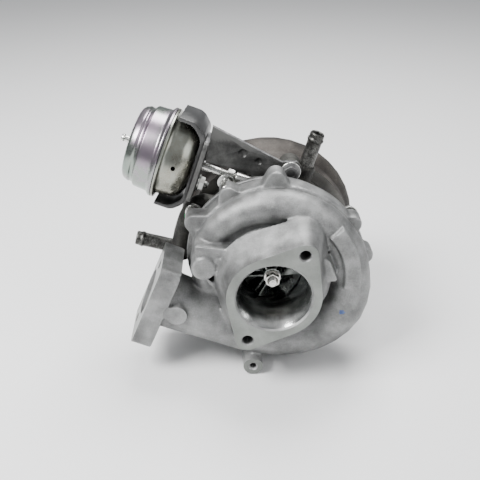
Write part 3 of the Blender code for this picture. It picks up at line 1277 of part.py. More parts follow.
def main():
    clear_scene()
    metals = make_materials()
    root = bpy.data.objects.new("turbocharger", None)
    bpy.context.scene.collection.objects.link(root)
    rotor = bpy.data.objects.new("rotor_axis", None)
    bpy.context.scene.collection.objects.link(rotor)
    rotor.parent = root
    frame = actuator_frame(root)
    lever_up = Vector((-ROD_DIRECTION[2], ROD_DIRECTION[0])).normalized()
    lever_angle = math.degrees(math.atan2(lever_up[1], lever_up[0]))
    lever = lever_up * LEVER_LENGTH
    crank_place = (ROD_PIN[0] - lever[0], ROD_PIN[2] - lever[1])
    crank_angle = math.degrees(math.atan2(crank_place[1], crank_place[0]))
    compressor_housing(root, metals["cast_aluminium"])
    backplate(root, metals["cast_aluminium"])
    shoulder = rotor_parts(rotor, metals)
    thrust_bearing(root, metals["bronze"])
    journal_bearings(root, shoulder, metals["bronze"])
    bearing_housing(root, shoulder, crank_place, metals["bearing_iron"])
    heat_shield(root, metals["nickel_alloy"])
    nozzle_ring(root, metals["nickel_alloy"])
    vanes(root, metals["nickel_alloy"])
    unison_ring(root, crank_place, crank_angle, metals["nickel_alloy"])
    crank(root, crank_place, crank_angle, lever_angle, metals)
    actuator(frame, metals)
    cradle_and_bracket(frame, root, metals)
    coolant_pipes(root, metals["pipe_steel"])
    turbine_housing(root, metals["turbine_iron"])
    compressor_bolts(root, metals["bright_zinc"])
    stand_on_floor(root)


main()
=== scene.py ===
import math
import bmesh
import bpy
from mathutils import Matrix, Vector


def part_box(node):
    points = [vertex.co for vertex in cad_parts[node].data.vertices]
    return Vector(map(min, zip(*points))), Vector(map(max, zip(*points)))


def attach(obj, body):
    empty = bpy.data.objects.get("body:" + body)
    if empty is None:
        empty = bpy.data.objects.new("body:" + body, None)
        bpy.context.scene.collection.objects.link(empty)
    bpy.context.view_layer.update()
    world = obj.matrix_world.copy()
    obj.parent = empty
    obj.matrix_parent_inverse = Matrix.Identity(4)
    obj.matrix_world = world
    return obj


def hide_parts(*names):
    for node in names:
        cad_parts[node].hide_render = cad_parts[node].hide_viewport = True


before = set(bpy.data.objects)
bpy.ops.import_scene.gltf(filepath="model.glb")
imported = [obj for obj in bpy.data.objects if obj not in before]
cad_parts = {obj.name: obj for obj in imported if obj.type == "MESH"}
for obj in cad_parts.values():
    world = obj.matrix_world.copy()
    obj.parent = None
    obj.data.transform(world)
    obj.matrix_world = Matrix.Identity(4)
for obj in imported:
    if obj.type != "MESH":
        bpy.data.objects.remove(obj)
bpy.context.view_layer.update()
print("frame loaded")

# Pieces are shaped in millimetres round the shaft: X right, Y back from the inlet mouth, Z up
shaftLow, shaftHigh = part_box("shaft")
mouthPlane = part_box("compressor_housing")[0].y
shaftPlace = Vector(((shaftLow.x + shaftHigh.x) / 2, mouthPlane, (shaftLow.z + shaftHigh.z) / 2))
toWorld = Matrix.Translation(shaftPlace) @ Matrix.Scale(0.001, 4)
crispAngle = 32.0  # edges sharper than this keep a crisp shade


def polar(radius, degrees):
    angle = math.radians(degrees)
    return radius * math.cos(angle), radius * math.sin(angle)


def between(value, keys, values):  # straight interpolation on falling keys
    for left in range(len(keys) - 1):
        if keys[left] >= value >= keys[left + 1]:
            share = (keys[left] - value) / (keys[left] - keys[left + 1])
            return values[left] + share * (values[left + 1] - values[left])
    return values[-1]


def inMetres(local):  # a piece's own axes, in metres, for its finish
    return Matrix.Translation(toWorld @ local.translation) @ local.to_3x3().to_4x4()


# Shapes
def pointingFrame(place, direction, axis=(0, 0, 1)):
    turn = Vector(axis).rotation_difference(Vector(direction)).to_matrix().to_4x4()
    return Matrix.Translation(place) @ turn


def addBar(shape, start, end, radius, endRadius=None, segments=48):
    start, end = Vector(start), Vector(end)
    bmesh.ops.create_cone(shape, cap_ends=True, segments=segments, radius1=radius,
                          radius2=radius if endRadius is None else endRadius,
                          depth=(end - start).length,
                          matrix=pointingFrame((start + end) / 2, end - start))


def addPost(shape, x, z, front, back, radius, endRadius=None, segments=48):
    addBar(shape, (x, front, z), (x, back, z), radius, endRadius, segments)


def addBlock(shape, low, high):
    low, high = Vector(low), Vector(high)
    place = Matrix.Translation((low + high) / 2)
    bmesh.ops.create_cube(shape, size=1.0, matrix=place @ Matrix.Diagonal((*(high - low), 1)))


def placed(shape, place):
    bmesh.ops.transform(shape, matrix=place, verts=shape.verts)
    return shape


def moved(shape, x, y, z):
    return placed(shape, Matrix.Translation((x, y, z)))


def extruded(part, way):  # a flat face pushed along a way into a closed block
    made = bmesh.ops.extrude_face_region(part, geom=part.faces[:], use_keep_orig=True)
    pushed = [item for item in made["geom"] if isinstance(item, bmesh.types.BMVert)]
    bmesh.ops.translate(part, verts=pushed, vec=way)
    bmesh.ops.recalc_face_normals(part, faces=part.faces)
    return part


def joinInto(shape, part):
    mesh = bpy.data.meshes.new("joining")
    part.to_mesh(mesh)
    part.free()
    shape.from_mesh(mesh)
    bpy.data.meshes.remove(mesh)


def addHull(shape, discs, segments=40, place=None):  # each disc is x, z, y, radius
    part = bmesh.new()
    for x, z, y, radius in discs:
        flat = Matrix.Translation((x, y, z)) @ Matrix.Rotation(math.pi / 2, 4, "X")
        bmesh.ops.create_circle(part, segments=segments, radius=radius, matrix=flat)
    bmesh.ops.convex_hull(part, input=part.verts)
    loose = [vert for vert in part.verts if not vert.link_faces]
    bmesh.ops.delete(part, geom=loose, context="VERTS")
    wires = [edge for edge in part.edges if not edge.link_faces]
    bmesh.ops.delete(part, geom=wires, context="EDGES")
    bmesh.ops.recalc_face_normals(part, faces=part.faces)
    joinInto(shape, placed(part, place) if place else part)


def addPlate(shape, points, front, back, rounding=0.0):  # a flat outline in X and Z
    part = bmesh.new()
    part.faces.new([part.verts.new((x, front, z)) for x, z in points])
    if rounding:
        bmesh.ops.bevel(part, geom=part.verts, offset=rounding, segments=6, profile=0.5,
                        affect="VERTICES", material=-1)
    joinInto(shape, extruded(part, (0.0, back - front, 0.0)))


def ringFrame(centre, across, radius):
    side = Vector((across[0], 0.0, across[1]))
    rear = Vector((0.0, 1.0, 0.0))
    columns = (side * radius, rear * radius, side.cross(rear))
    place = Matrix(columns).transposed().to_4x4()
    place.translation = Vector(centre)
    return place


def addSweep(shape, stations, segments=40):
    part = bmesh.new()
    rings = []
    for station in stations:
        made = bmesh.ops.create_circle(part, segments=segments, radius=1.0, matrix=station)
        rings.append(list({edge for vert in made["verts"] for edge in vert.link_edges}))
    for near, far in zip(rings, rings[1:]):
        bmesh.ops.bridge_loops(part, edges=near + far)
    for ring in (rings[0], rings[-1]):
        bmesh.ops.edgeloop_fill(part, edges=ring)
    bmesh.ops.recalc_face_normals(part, faces=part.faces)
    joinInto(shape, part)


def spun(profile, steps=96):  # (distance along Y, radius), from axis to axis or closed
    shape = bmesh.new()
    verts = [shape.verts.new((radius, along, 0.0)) for along, radius in profile]
    edges = [shape.edges.new(pair) for pair in zip(verts, verts[1:])]
    if profile[0][1] > 0.0:
        edges.append(shape.edges.new((verts[-1], verts[0])))
    bmesh.ops.spin(shape, geom=verts + edges, cent=(0, 0, 0), axis=(0, 1, 0),
                   angle=2 * math.pi, steps=steps, use_merge=True)
    bmesh.ops.remove_doubles(shape, verts=shape.verts, dist=1e-4)
    bmesh.ops.recalc_face_normals(shape, faces=shape.faces)
    return shape


def rounded(corners, size, steps=4):  # a profile with each inner corner rounded
    points = [corners[0]]
    for before, here, after in zip(corners, corners[1:], corners[2:]):
        here = Vector(here)
        back, ahead = Vector(before) - here, Vector(after) - here
        reach = min(size, back.length * 0.45, ahead.length * 0.45)
        start, end = here + back.normalized() * reach, here + ahead.normalized() * reach
        for step in range(steps + 1):
            share = step / steps
            near = start.lerp(here, share)
            points.append(tuple(near.lerp(here.lerp(end, share), share)))
    points.append(corners[-1])
    return points


def threadProfile(front, back, radius, pitch=1.0, depth=0.45):
    turns = int((back - front) / pitch)
    points = []
    for turn in range(turns):
        start = front + turn * pitch
        points += [(start, radius - depth), (start + 0.4 * pitch, radius),
                   (start + 0.6 * pitch, radius)]
    return points + [(front + turns * pitch, radius - depth)]


def soften(shape, width, angle=30.0, segments=2):
    bmesh.ops.recalc_face_normals(shape, faces=shape.faces)
    edges = [edge for edge in shape.edges
             if edge.is_manifold and edge.calc_face_angle(0.0) > math.radians(angle)]
    bmesh.ops.bevel(shape, geom=edges, offset=width, offset_type="OFFSET", segments=segments,
                    profile=0.5, affect="EDGES", material=-1, clamp_overlap=True)


def standIn(shape):
    bmesh.ops.recalc_face_normals(shape, faces=shape.faces)
    mesh = bpy.data.meshes.new("working")
    shape.to_mesh(mesh)
    shape.free()
    thing = bpy.data.objects.new("working", mesh)
    bpy.context.scene.collection.objects.link(thing)
    return thing


def settled(base, helpers=()):
    result = bmesh.new()
    result.from_object(base, bpy.context.evaluated_depsgraph_get())
    for thing in (base, *helpers):
        mesh = thing.data
        bpy.data.objects.remove(thing)
        bpy.data.meshes.remove(mesh)
    return result


def fused(shape, grain, rounds):  # one cast skin over overlapping shapes, with soft corners
    base = standIn(shape)
    remesh = base.modifiers.new("skin", "REMESH")
    remesh.mode = "VOXEL"
    remesh.voxel_size = grain
    smooth = base.modifiers.new("corners", "SMOOTH")
    smooth.factor = 0.5
    smooth.iterations = rounds
    return settled(base)


def joined(shape, others, operation="UNION", solver="MANIFOLD"):
    base = standIn(shape)
    helpers = [standIn(other) for other in others]
    for helper in helpers:
        change = base.modifiers.new(operation, "BOOLEAN")
        change.operation = operation
        change.object = helper
        change.solver = solver
    return settled(base, helpers)


def cutFrom(shape, others, solver="MANIFOLD"):
    return joined(shape, others, "DIFFERENCE", solver)


def single(maker, *arguments, **named):
    shape = bmesh.new()
    maker(shape, *arguments, **named)
    return shape


def bolthole(x, z, front, radius, depth, sink=0.8):  # a drilled hole with a chamfer
    above, drillPoint = 2.0, 0.5 * radius
    return moved(spun([(front - above, 0.0), (front - above, radius + sink + above),
                       (front + sink, radius), (front + depth, radius),
                       (front + depth + drillPoint, 0.0)], 40), x, 0.0, z)


def hexNut(radius, bore, front, back, chamfer=0.9):
    hexagon = single(addPost, 0, 0, front, back, radius, segments=6)
    waist = radius * 0.93
    turned = spun([(front, 0.0), (front, waist), (front + chamfer, radius + 0.3),
                   (back - chamfer, radius + 0.3), (back, waist), (back, 0.0)], 72)
    nut = joined(hexagon, [turned], "INTERSECT")
    if bore:
        hole = spun([(front - 1.0, 0.0), (front - 1.0, bore + 1.6), (front + 0.6, bore),
                     (back - 0.6, bore), (back + 1.0, bore + 1.6), (back + 1.0, 0.0)], 48)
        nut = cutFrom(nut, [hole])
    return nut


def paint(shape, slotNumber, test):
    for face in shape.faces:
        if test(face.calc_center_median(), face.normal):
            face.material_index = slotNumber


def finishPiece(name, shape, body, finishNames, replacing, local=None):
    if local:
        placed(shape, local)
    placed(shape, toWorld)
    mesh = bpy.data.meshes.new(name)
    shape.to_mesh(mesh)
    shape.free()
    mesh.shade_smooth()
    mesh.set_sharp_from_angle(angle=math.radians(crispAngle))
    for finish in finishNames:
        mesh.materials.append(finishes[finish])
    piece = bpy.data.objects.new(name, mesh)
    bpy.context.scene.collection.objects.link(piece)
    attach(piece, body)
    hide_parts(*replacing)


# Finishes. Scales are per metre, bump depths in metres. The edges amount sets how much pointiness
# lightens sharp outer edges, as worn edges, and darkens hollows and creases, as painted shade
def addNoise(tree, place, scale, detail=3.0, roughness=0.55):
    node = tree.nodes.new("ShaderNodeTexNoise")
    node.inputs["Scale"].default_value = scale
    node.inputs["Detail"].default_value = detail
    node.inputs["Roughness"].default_value = roughness
    tree.links.new(place, node.inputs["Vector"])
    return node.outputs["Fac"]


def addMath(tree, operation, *values):
    node = tree.nodes.new("ShaderNodeMath")
    node.operation = operation
    for socket, value in zip(node.inputs, values):
        if isinstance(value, (int, float)):
            socket.default_value = value
        else:
            tree.links.new(value, socket)
    return node.outputs[0]


def addRamp(tree, share, stops):
    node = tree.nodes.new("ShaderNodeValToRGB")
    ramp = node.color_ramp
    while len(ramp.elements) < len(stops):
        ramp.elements.new(0.5)
    for element, (position, colour) in zip(ramp.elements, stops):
        element.position = position
        element.color = (*colour, 1.0)
    tree.links.new(share, node.inputs["Fac"])
    return node.outputs["Color"]


def addRange(tree, value, fromLow, fromHigh, low, high):
    node = tree.nodes.new("ShaderNodeMapRange")
    for name, number in (("From Min", fromLow), ("From Max", fromHigh), ("To Min", low),
                         ("To Max", high)):
        node.inputs[name].default_value = number
    tree.links.new(value, node.inputs["Value"])
    return node.outputs["Result"]


def pieceAxes(tree, axes):  # coordinates in metres, along a piece's own axes if given
    coordinates = tree.nodes.new("ShaderNodeTexCoord").outputs["Object"]
    if axes is None:
        return coordinates
    back = axes.inverted()
    mapping = tree.nodes.new("ShaderNodeMapping")
    mapping.inputs["Location"].default_value = back.to_translation()
    mapping.inputs["Rotation"].default_value = back.to_euler()
    tree.links.new(coordinates, mapping.inputs["Vector"])
    return mapping.outputs["Vector"]


def turningMarks(tree, place, scale):  # fine rings that run round the Y axis
    parts = tree.nodes.new("ShaderNodeSeparateXYZ")
    tree.links.new(place, parts.inputs[0])
    square = addMath(tree, "MULTIPLY", parts.outputs["X"], parts.outputs["X"])
    square = addMath(tree, "ADD", square, addMath(tree, "MULTIPLY", parts.outputs["Z"],
                                                  parts.outputs["Z"]))
    made = tree.nodes.new("ShaderNodeCombineXYZ")
    tree.links.new(addMath(tree, "SQRT", square), made.inputs["X"])
    tree.links.new(parts.outputs["Y"], made.inputs["Y"])
    return addNoise(tree, made.outputs[0], scale, 2.0)


def makeFinish(name, look, axes=None):
    material = bpy.data.materials.new(name)
    material.use_nodes = True
    tree = material.node_tree
    shader = tree.nodes["Principled BSDF"]
    shader.inputs["Metallic"].default_value = look["metal"]
    place = pieceAxes(tree, axes)
    fine = addNoise(tree, place, look["grain"], 3.0, 0.6)
    share = addNoise(tree, place, look["blotch"], 4.0)
    centred = addMath(tree, "SUBTRACT", fine, 0.5)
    share = addMath(tree, "MULTIPLY_ADD", centred, look["fleck"], share)
    # Pointiness lightens sharp outer edges (worn edges) and darkens hollows and creases (painted
    # shade)
    if "edges" in look:
        edges = tree.nodes.new("ShaderNodeNewGeometry").outputs["Pointiness"]
        share = addMath(tree, "MULTIPLY_ADD", addMath(tree, "SUBTRACT", edges, 0.5),
                        look["edges"], share)
    tree.links.new(addRamp(tree, share, look["colours"]), shader.inputs["Base Color"])
    tree.links.new(addRange(tree, share, 0.3, 0.7, *look["rough"]), shader.inputs["Roughness"])
    layers = [(fine, look["grainBump"], look["grainDepth"])]
    if "soft" in look:
        layers.append((addNoise(tree, place, look["soft"], 2.0), look["softBump"], 0.0008))
    if "turned" in look:
        layers.append((turningMarks(tree, place, look["turned"]), look["turnedBump"], 0.0001))
    normal = None
    for height, strength, depth in layers:
        bump = tree.nodes.new("ShaderNodeBump")
        bump.inputs["Strength"].default_value = strength
        bump.inputs["Distance"].default_value = depth
        tree.links.new(height, bump.inputs["Height"])
        if normal:
            tree.links.new(normal, bump.inputs["Normal"])
        normal = bump.outputs["Normal"]
    tree.links.new(normal, shader.inputs["Normal"])
    for socket, value in look["sockets"].items():
        shader.inputs[socket].default_value = value
    return material


def grey(low, middle, high, tint=(1.0, 1.0, 1.0)):
    return [(position, tuple(level * part for part in tint))
            for position, level in ((0.3, low), (0.5, middle), (0.7, high))]


shaftAxes = inMetres(Matrix.Identity(4))
pinPlace = Vector((-10.6, 71.4, 48.9))  # the rod's pin, on the actuator's axis
rodWay = Vector((0.9405, -0.1279, -0.3148)).normalized()
rodUp = Vector((0.3148, 0.0, 0.9405)).normalized()
rodUp = (rodUp - rodWay * rodUp.dot(rodWay)).normalized()
canFrame = Matrix((rodWay.cross(rodUp), rodWay, rodUp)).transposed().to_4x4()
canFrame.translation = pinPlace
canAxes = inMetres(canFrame)

usualLook = {"metal": 1.0, "fleck": 0.4, "grainDepth": 0.0001, "sockets": {}}
looks = {
    "castAluminium": {"metal": 0.75, "rough": (0.42, 0.56), "grain": 1900.0, "blotch": 60.0,
        "fleck": 0.55, "edges": 2.2, "grainBump": 0.55, "grainDepth": 0.00035, "soft": 420.0,
        "softBump": 0.16, "colours": grey(0.12, 0.22, 0.35, (1.0, 1.01, 1.0))},
    "machinedAluminium": {"metal": 0.95, "rough": (0.28, 0.4), "grain": 900.0, "blotch": 45.0,
        "fleck": 0.2, "grainBump": 0.05, "turned": 3200.0, "turnedBump": 0.3,
        "colours": grey(0.15, 0.2, 0.27, (0.98, 1.03, 0.97))},
    "boredAluminium": {"rough": (0.16, 0.26), "grain": 900.0, "blotch": 70.0, "fleck": 0.2,
        "grainBump": 0.04, "turned": 2600.0, "turnedBump": 0.3,
        "colours": grey(0.27, 0.38, 0.52, (1.0, 1.01, 1.0))},
    "wheelAluminium": {"rough": (0.2, 0.32), "grain": 1200.0, "blotch": 120.0, "fleck": 0.3,
        "edges": 1.0, "grainBump": 0.12, "colours": grey(0.3, 0.42, 0.56, (0.98, 1.03, 0.98))},
    "bearingIron": {"metal": 0.6, "rough": (0.5, 0.68), "grain": 1500.0, "blotch": 80.0,
        "fleck": 0.7, "edges": 1.6, "grainBump": 0.65, "grainDepth": 0.0004, "soft": 350.0,
        "softBump": 0.2,
        "colours": [(0.3, (0.016, 0.015, 0.014)), (0.5, (0.036, 0.035, 0.032)),
            (0.72, (0.09, 0.09, 0.08))]},
    "turbineIron": {"metal": 0.55, "rough": (0.52, 0.7), "grain": 1300.0, "blotch": 55.0,
        "fleck": 0.7, "edges": 1.4, "grainBump": 0.65, "grainDepth": 0.0004, "soft": 320.0,
        "softBump": 0.2,
        "colours": [(0.3, (0.022, 0.019, 0.017)), (0.5, (0.05, 0.044, 0.039)),
            (0.72, (0.11, 0.1, 0.09))]},
    "machinedIron": {"metal": 0.9, "rough": (0.34, 0.46), "grain": 900.0, "blotch": 50.0,
        "fleck": 0.3, "grainBump": 0.08, "turned": 2500.0, "turnedBump": 0.3,
        "colours": grey(0.22, 0.3, 0.38, (1.0, 0.97, 0.93))},
    "zincYellow": {"rough": (0.2, 0.34), "grain": 700.0, "blotch": 38.0, "fleck": 0.3,
        "edges": 0.5, "grainBump": 0.06,
        "colours": [(0.32, (0.2, 0.185, 0.135)), (0.5, (0.27, 0.265, 0.225)),
            (0.68, (0.32, 0.335, 0.3))],
        "sockets": {"Anisotropic": 0.3}},
    "zincBlue": {"rough": (0.18, 0.32), "grain": 700.0, "blotch": 34.0, "fleck": 0.3, "edges": 0.5,
        "grainBump": 0.06,
        "colours": [(0.3, (0.16, 0.22, 0.2)), (0.5, (0.25, 0.28, 0.25)),
            (0.68, (0.31, 0.26, 0.31))],
        "sockets": {"Anisotropic": 0.3}},
    "brightZinc": {"rough": (0.2, 0.34), "grain": 1500.0, "blotch": 150.0, "edges": 0.8,
        "grainBump": 0.12, "colours": grey(0.45, 0.58, 0.7, (1.0, 1.0, 0.96))},
    "brightSteel": {"rough": (0.16, 0.28), "grain": 1600.0, "blotch": 120.0, "fleck": 0.3,
        "edges": 0.8, "grainBump": 0.08, "turned": 4000.0, "turnedBump": 0.2,
        "colours": grey(0.5, 0.6, 0.72, (1.0, 0.98, 0.93))},
    "phosphate": {"metal": 0.8, "rough": (0.4, 0.58), "grain": 2200.0, "blotch": 90.0,
        "fleck": 0.6, "edges": 1.6, "grainBump": 0.3, "grainDepth": 0.0002,
        "colours": grey(0.03, 0.06, 0.12, (1.0, 1.0, 0.97))},
    "cutEdge": {"metal": 0.95, "rough": (0.3, 0.45), "grain": 1800.0, "blotch": 200.0,
        "fleck": 0.5, "grainBump": 0.3, "grainDepth": 0.0002, "colours": grey(0.18, 0.28, 0.38)},
    "blackStrap": {"metal": 0.2, "rough": (0.3, 0.46), "grain": 2000.0, "blotch": 70.0,
        "edges": 1.5, "grainBump": 0.15, "colours": grey(0.012, 0.02, 0.05),
        "sockets": {"Coat Weight": 0.25}},
    "drawnPipe": {"metal": 0.95, "rough": (0.3, 0.5), "grain": 1700.0, "blotch": 260.0,
        "fleck": 1.2, "edges": 1.2, "grainBump": 0.3, "grainDepth": 0.0002,
        "colours": [(0.35, (0.035, 0.034, 0.032)), (0.55, (0.075, 0.074, 0.07)),
            (0.8, (0.2, 0.2, 0.19))]},
    "darkSteel": {"metal": 0.9, "rough": (0.34, 0.5), "grain": 1600.0, "blotch": 110.0,
        "fleck": 0.5, "edges": 1.6, "grainBump": 0.2, "grainDepth": 0.0002,
        "colours": grey(0.07, 0.13, 0.22)},
    "bronze": {"rough": (0.26, 0.38), "grain": 1200.0, "blotch": 90.0, "fleck": 0.3,
        "grainBump": 0.1, "turned": 3000.0, "turnedBump": 0.2,
        "colours": grey(0.4, 0.55, 0.66, (1.0, 0.7, 0.38))},
    "nickelAlloy": {"rough": (0.32, 0.46), "grain": 1400.0, "blotch": 90.0, "grainBump": 0.2,
        "grainDepth": 0.0002, "colours": grey(0.2, 0.29, 0.36, (1.0, 0.92, 0.82))},
    "springSteel": {"rough": (0.24, 0.36), "grain": 1800.0, "blotch": 150.0, "grainBump": 0.1,
        "colours": grey(0.3, 0.4, 0.5)},
    "rubber": {"metal": 0.0, "rough": (0.55, 0.7), "grain": 2500.0, "blotch": 120.0,
        "grainBump": 0.2, "grainDepth": 0.0002, "colours": grey(0.018, 0.026, 0.04)},
    "bluePaint": {"metal": 0.0, "rough": (0.35, 0.5), "grain": 1500.0, "blotch": 300.0,
        "grainBump": 0.15, "grainDepth": 0.0002,
        "colours": [(0.3, (0.03, 0.06, 0.2)), (0.5, (0.05, 0.1, 0.3)), (0.7, (0.1, 0.17, 0.38))]},
    "greenPaint": {"metal": 0.0, "rough": (0.35, 0.5), "grain": 1500.0, "blotch": 300.0,
        "grainBump": 0.15, "grainDepth": 0.0002,
        "colours": [(0.3, (0.02, 0.25, 0.08)), (0.5, (0.04, 0.38, 0.13)), (0.7, (0.1, 0.5, 0.2))]},
}
turnedRound = {"machinedAluminium": shaftAxes, "boredAluminium": shaftAxes,
               "machinedIron": shaftAxes, "brightSteel": shaftAxes, "bronze": shaftAxes,
               "zincYellow": canAxes, "zincBlue": canAxes}
finishes = {name: makeFinish(name, {**usualLook, **look}, turnedRound.get(name))
            for name, look in looks.items()}
print("finishes made")

# Compressor housing
scroll = {"wall": 3.5,
          "angles": (210, 180, 150, 120, 90, 60, 30, 0, -15, -30, -45, -60, -75, -90),
          "reach": (55, 57, 58.2, 59.2, 60.5, 62, 64.5, 69, 73, 76, 76.5, 75, 73, 70.5),
          "round": (7.5, 8.5, 9.5, 10.5, 11.5, 12.5, 13.5, 14.5, 15.2, 15.8, 16.3, 16.7, 17.0,
                    17.3)}
housing = {"grain": 1.0, "rounds": 3, "flangeFront": 46.0, "flangeBack": 58.0, "allowance": 1.5,
           "collar": 31.5, "ear": 8.0, "holeCircle": 38.0, "holeAngles": (60.0, 243.0),
           "lipDepth": 24.5, "flare": 9.0, "mouth": 25.0, "throat": 20.0,
           "lugs": ((150, 69), (120, 66.5), (88, 70), (28, 70), (4, 73)), "lugTip": 6.5,
           "lugRoot": (52.0, 10.5), "rootCorner": 2.0,
           "boltCircle": 63.5, "boltAngles": (150, 120, 28, -60, 240), "boltHole": 3.3,
           "seatRadius": 54.0, "wheelSide": 49.5, "throatBack": 20.0, "mouthFlare": 1.2}
duct = {"start": (-18.0, -49.0), "end": (-77.5, -24.0), "endRadius": 21.0, "depth": 39.0,
        "flangeCentre": (-81.3, -22.5), "thickness": 14.5, "length": 66.0, "width": 46.0,
        "corner": 7.0, "bore": 16.5, "boltSpread": 50.0, "boltHole": 3.6}
footBoss = {"place": (-12.8, -70.5), "face": 16.0, "hole": 2.4, "cutter": 9.5}
ductBoss = {"place": (-66.5, -25.0), "face": 16.0, "cutter": 9.5}
crest = {"angles": range(-8, 38, 6), "span": 6.6, "inner": 49.5, "outer": 60.5,
         "front": 21.4, "back": 34.0}  # the raised strip on the scroll


def scrollStation(angle, inset):
    radius = between(angle, scroll["angles"], scroll["round"])
    x, z = polar(between(angle, scroll["angles"], scroll["reach"]) - radius, angle)
    return ringFrame((x, housing["flangeFront"] - 2.0 - 0.5 * radius, z), polar(1.0, angle),
                     radius - inset)


def ductStations(inset):
    stations = [scrollStation(angle, inset) for angle in (-80, -90)]
    start, end = Vector(duct["start"]), Vector(duct["end"])
    way = (end - start).normalized()
    lastRadius = scroll["round"][-1]
    lastDepth = housing["flangeFront"] - 2.0 - 0.5 * lastRadius
    for share in (0.0, 0.35, 0.7, 1.0):
        place = start.lerp(end, share)
        radius = lastRadius + (duct["endRadius"] - lastRadius) * share
        depth = lastDepth + (duct["depth"] - lastDepth) * share
        stations.append(ringFrame((place.x, depth, place.y), (-way.y, way.x), radius - inset))
    return stations


ductWay = (Vector(duct["end"]) - Vector(duct["start"])).normalized()
outward = Vector((ductWay.x, 0.0, ductWay.y))
outletFrame = Matrix((Vector((0, -1, 0)), outward,
                      Vector((0, -1, 0)).cross(outward))).transposed().to_4x4()
outletFrame.translation = (duct["flangeCentre"][0], duct["depth"], duct["flangeCentre"][1])


def flangeReach(angle):
    angle = (angle + 90.0) % 360.0 - 90.0
    if angle <= 210.0:
        return between(angle, scroll["angles"], scroll["reach"])
    share = (angle - 210.0) / 60.0
    return scroll["reach"][0] + share * (scroll["reach"][-1] - scroll["reach"][0])


def addRearFlange(shape, front, back, steps=180):
    part = bmesh.new()
    flat = Matrix.Translation((0, front, 0)) @ Matrix.Rotation(math.pi / 2, 4, "X")
    bmesh.ops.create_circle(part, cap_ends=True, segments=steps, radius=1.0, matrix=flat)
    for vert in part.verts:
        angle = math.degrees(math.atan2(vert.co.z, vert.co.x))
        vert.co.x, vert.co.z = polar(flangeReach(angle), angle)
    joinInto(shape, extruded(part, (0.0, back - front, 0.0)))


def addInletBody(shape):
    steps = 7
    for step in range(steps):
        discs = []
        for share in (step / steps, (step + 1) / steps):
            grow = housing["flare"] * share ** 1.7
            depth = -1.5 + (housing["lipDepth"] + 1.5) * share
            discs.append((0.0, 0.0, depth, housing["collar"] + grow))
            for angle in housing["holeAngles"]:
                discs.append((*polar(housing["holeCircle"], angle), depth,
                              housing["ear"] + grow * 0.8))
        addHull(shape, discs, 64)


def addLugs(shape, front, back):
    rootReach, rootHalf = housing["lugRoot"]
    spread = math.degrees(math.atan2(rootHalf, rootReach))
    for angle, tip in housing["lugs"]:
        corners = [(*polar(tip - housing["lugTip"], angle), housing["lugTip"])]
        corners += [(*polar(math.hypot(rootReach, rootHalf), angle + side * spread),
                     housing["rootCorner"]) for side in (-1, 1)]
        addHull(shape, [(x, z, depth, radius) for x, z, radius in corners
                        for depth in (front, back)])


cast = bmesh.new()
addSweep(cast, [scrollStation(angle, 0.0) for angle in range(210, -91, -10)], 56)
addSweep(cast, ductStations(0.0), 56)
castBack = housing["flangeBack"] + housing["allowance"]
addRearFlange(cast, housing["flangeFront"], castBack)
addLugs(cast, housing["flangeFront"], castBack)
addInletBody(cast)
# Posts are front, back and two radii; plates are an outline, front, back and corner
for sleeve in ((20.0, 46.0, 34.0, 37.0), (33.0, 50.0, 47.0, 49.0)):
    addPost(cast, 0, 0, *sleeve, 96)
addPlate(cast, [(-52.5, 27.0), (-28.0, 23.5), (-26.0, 15.0), (-53.0, 17.0)], 23.0, 46.0, 1.5)
addPost(cast, -47.0, 10.0, 20.5, 46.0, 8.3, 8.8)  # round pad beside the inlet
addPlate(cast, [(-38.5, 17.5), (-27.0, 17.5), (-30.0, 3.5), (-40.0, 5.0)], 21.5, 44.0, 1.0)
ribTop, ribFoot = (-46.0, 1.0), (-32.0, -14.0)
addHull(cast, [(*place, depth, radius) for depth, radius in ((24.0, 1.3), (42.0, 2.2))
               for place in (ribTop, ribFoot)], 16)
addPost(cast, *ductBoss["place"], 14.5, 40.0, 7.3, 8.3)
addPost(cast, *footBoss["place"], 14.5, 44.0, 7.0, 7.6)
webRoot = (-10.0, -56.0)
addHull(cast, [(*place, depth, radius) for place in (footBoss["place"], webRoot)
               for depth, radius in ((30.0, 6.5), (44.0, 7.5))])
addPlate(cast, [(28.0, 24.0), (37.5, 18.5), (43.5, 3.2), (33.0, 1.0), (27.0, 6.0)], 16.5, 44.0,
         1.2)
for angle in crest["angles"]:
    far = angle + crest["span"]
    addPlate(cast, [polar(crest["inner"], angle), polar(crest["outer"], angle),
                    polar(crest["outer"], far), polar(crest["inner"], far)], crest["front"],
             crest["back"])
corner = duct["corner"]
halfWidth, halfLength = duct["width"] / 2 - corner, duct["length"] / 2 - corner
halfThick = duct["thickness"] / 2
addHull(cast, [(side * halfWidth, end * halfLength, depth, corner)
               for side in (-1, 1) for end in (-1, 1) for depth in (-halfThick, halfThick + 1.5)],
        32, outletFrame)
cast = fused(cast, housing["grain"], housing["rounds"])
print("housing cast", len(cast.faces))

shroud = [(30.0, 20.2), (35.0, 21.2), (38.5, 23.4), (40.4, 26.6), (40.8, 29.5)]
diffuserFront = shroud[-1][0]
mouthCut = spun([(-3.0, 0.0), (-3.0, 29.2), (housing["mouthFlare"], housing["mouth"]),
                 (housing["throatBack"], housing["throat"]), *shroud,
                 (diffuserFront, housing["wheelSide"]),
                 (housing["flangeFront"], housing["wheelSide"]),
                 (housing["flangeFront"], housing["seatRadius"]), (62.0, housing["seatRadius"]),
                 (62.0, 0.0)], 144)
faceCut = single(addBlock, (-60, -8, -60), (60, 0, 60))
backCut = single(addBlock, (-120, housing["flangeBack"], -120), (120, 70, 120))
footCut = single(addPost, *footBoss["place"], 5.0, footBoss["face"], footBoss["cutter"])
passage = single(addSweep, [scrollStation(angle, scroll["wall"]) for angle in
                            range(210, -91, -10)], 40)
ductCut = single(addSweep, ductStations(scroll["wall"]), 40)
outletCut = placed(single(addPost, 0, 0, -halfThick - 12.0, halfThick + 4.0, duct["bore"],
                          segments=96), outletFrame)
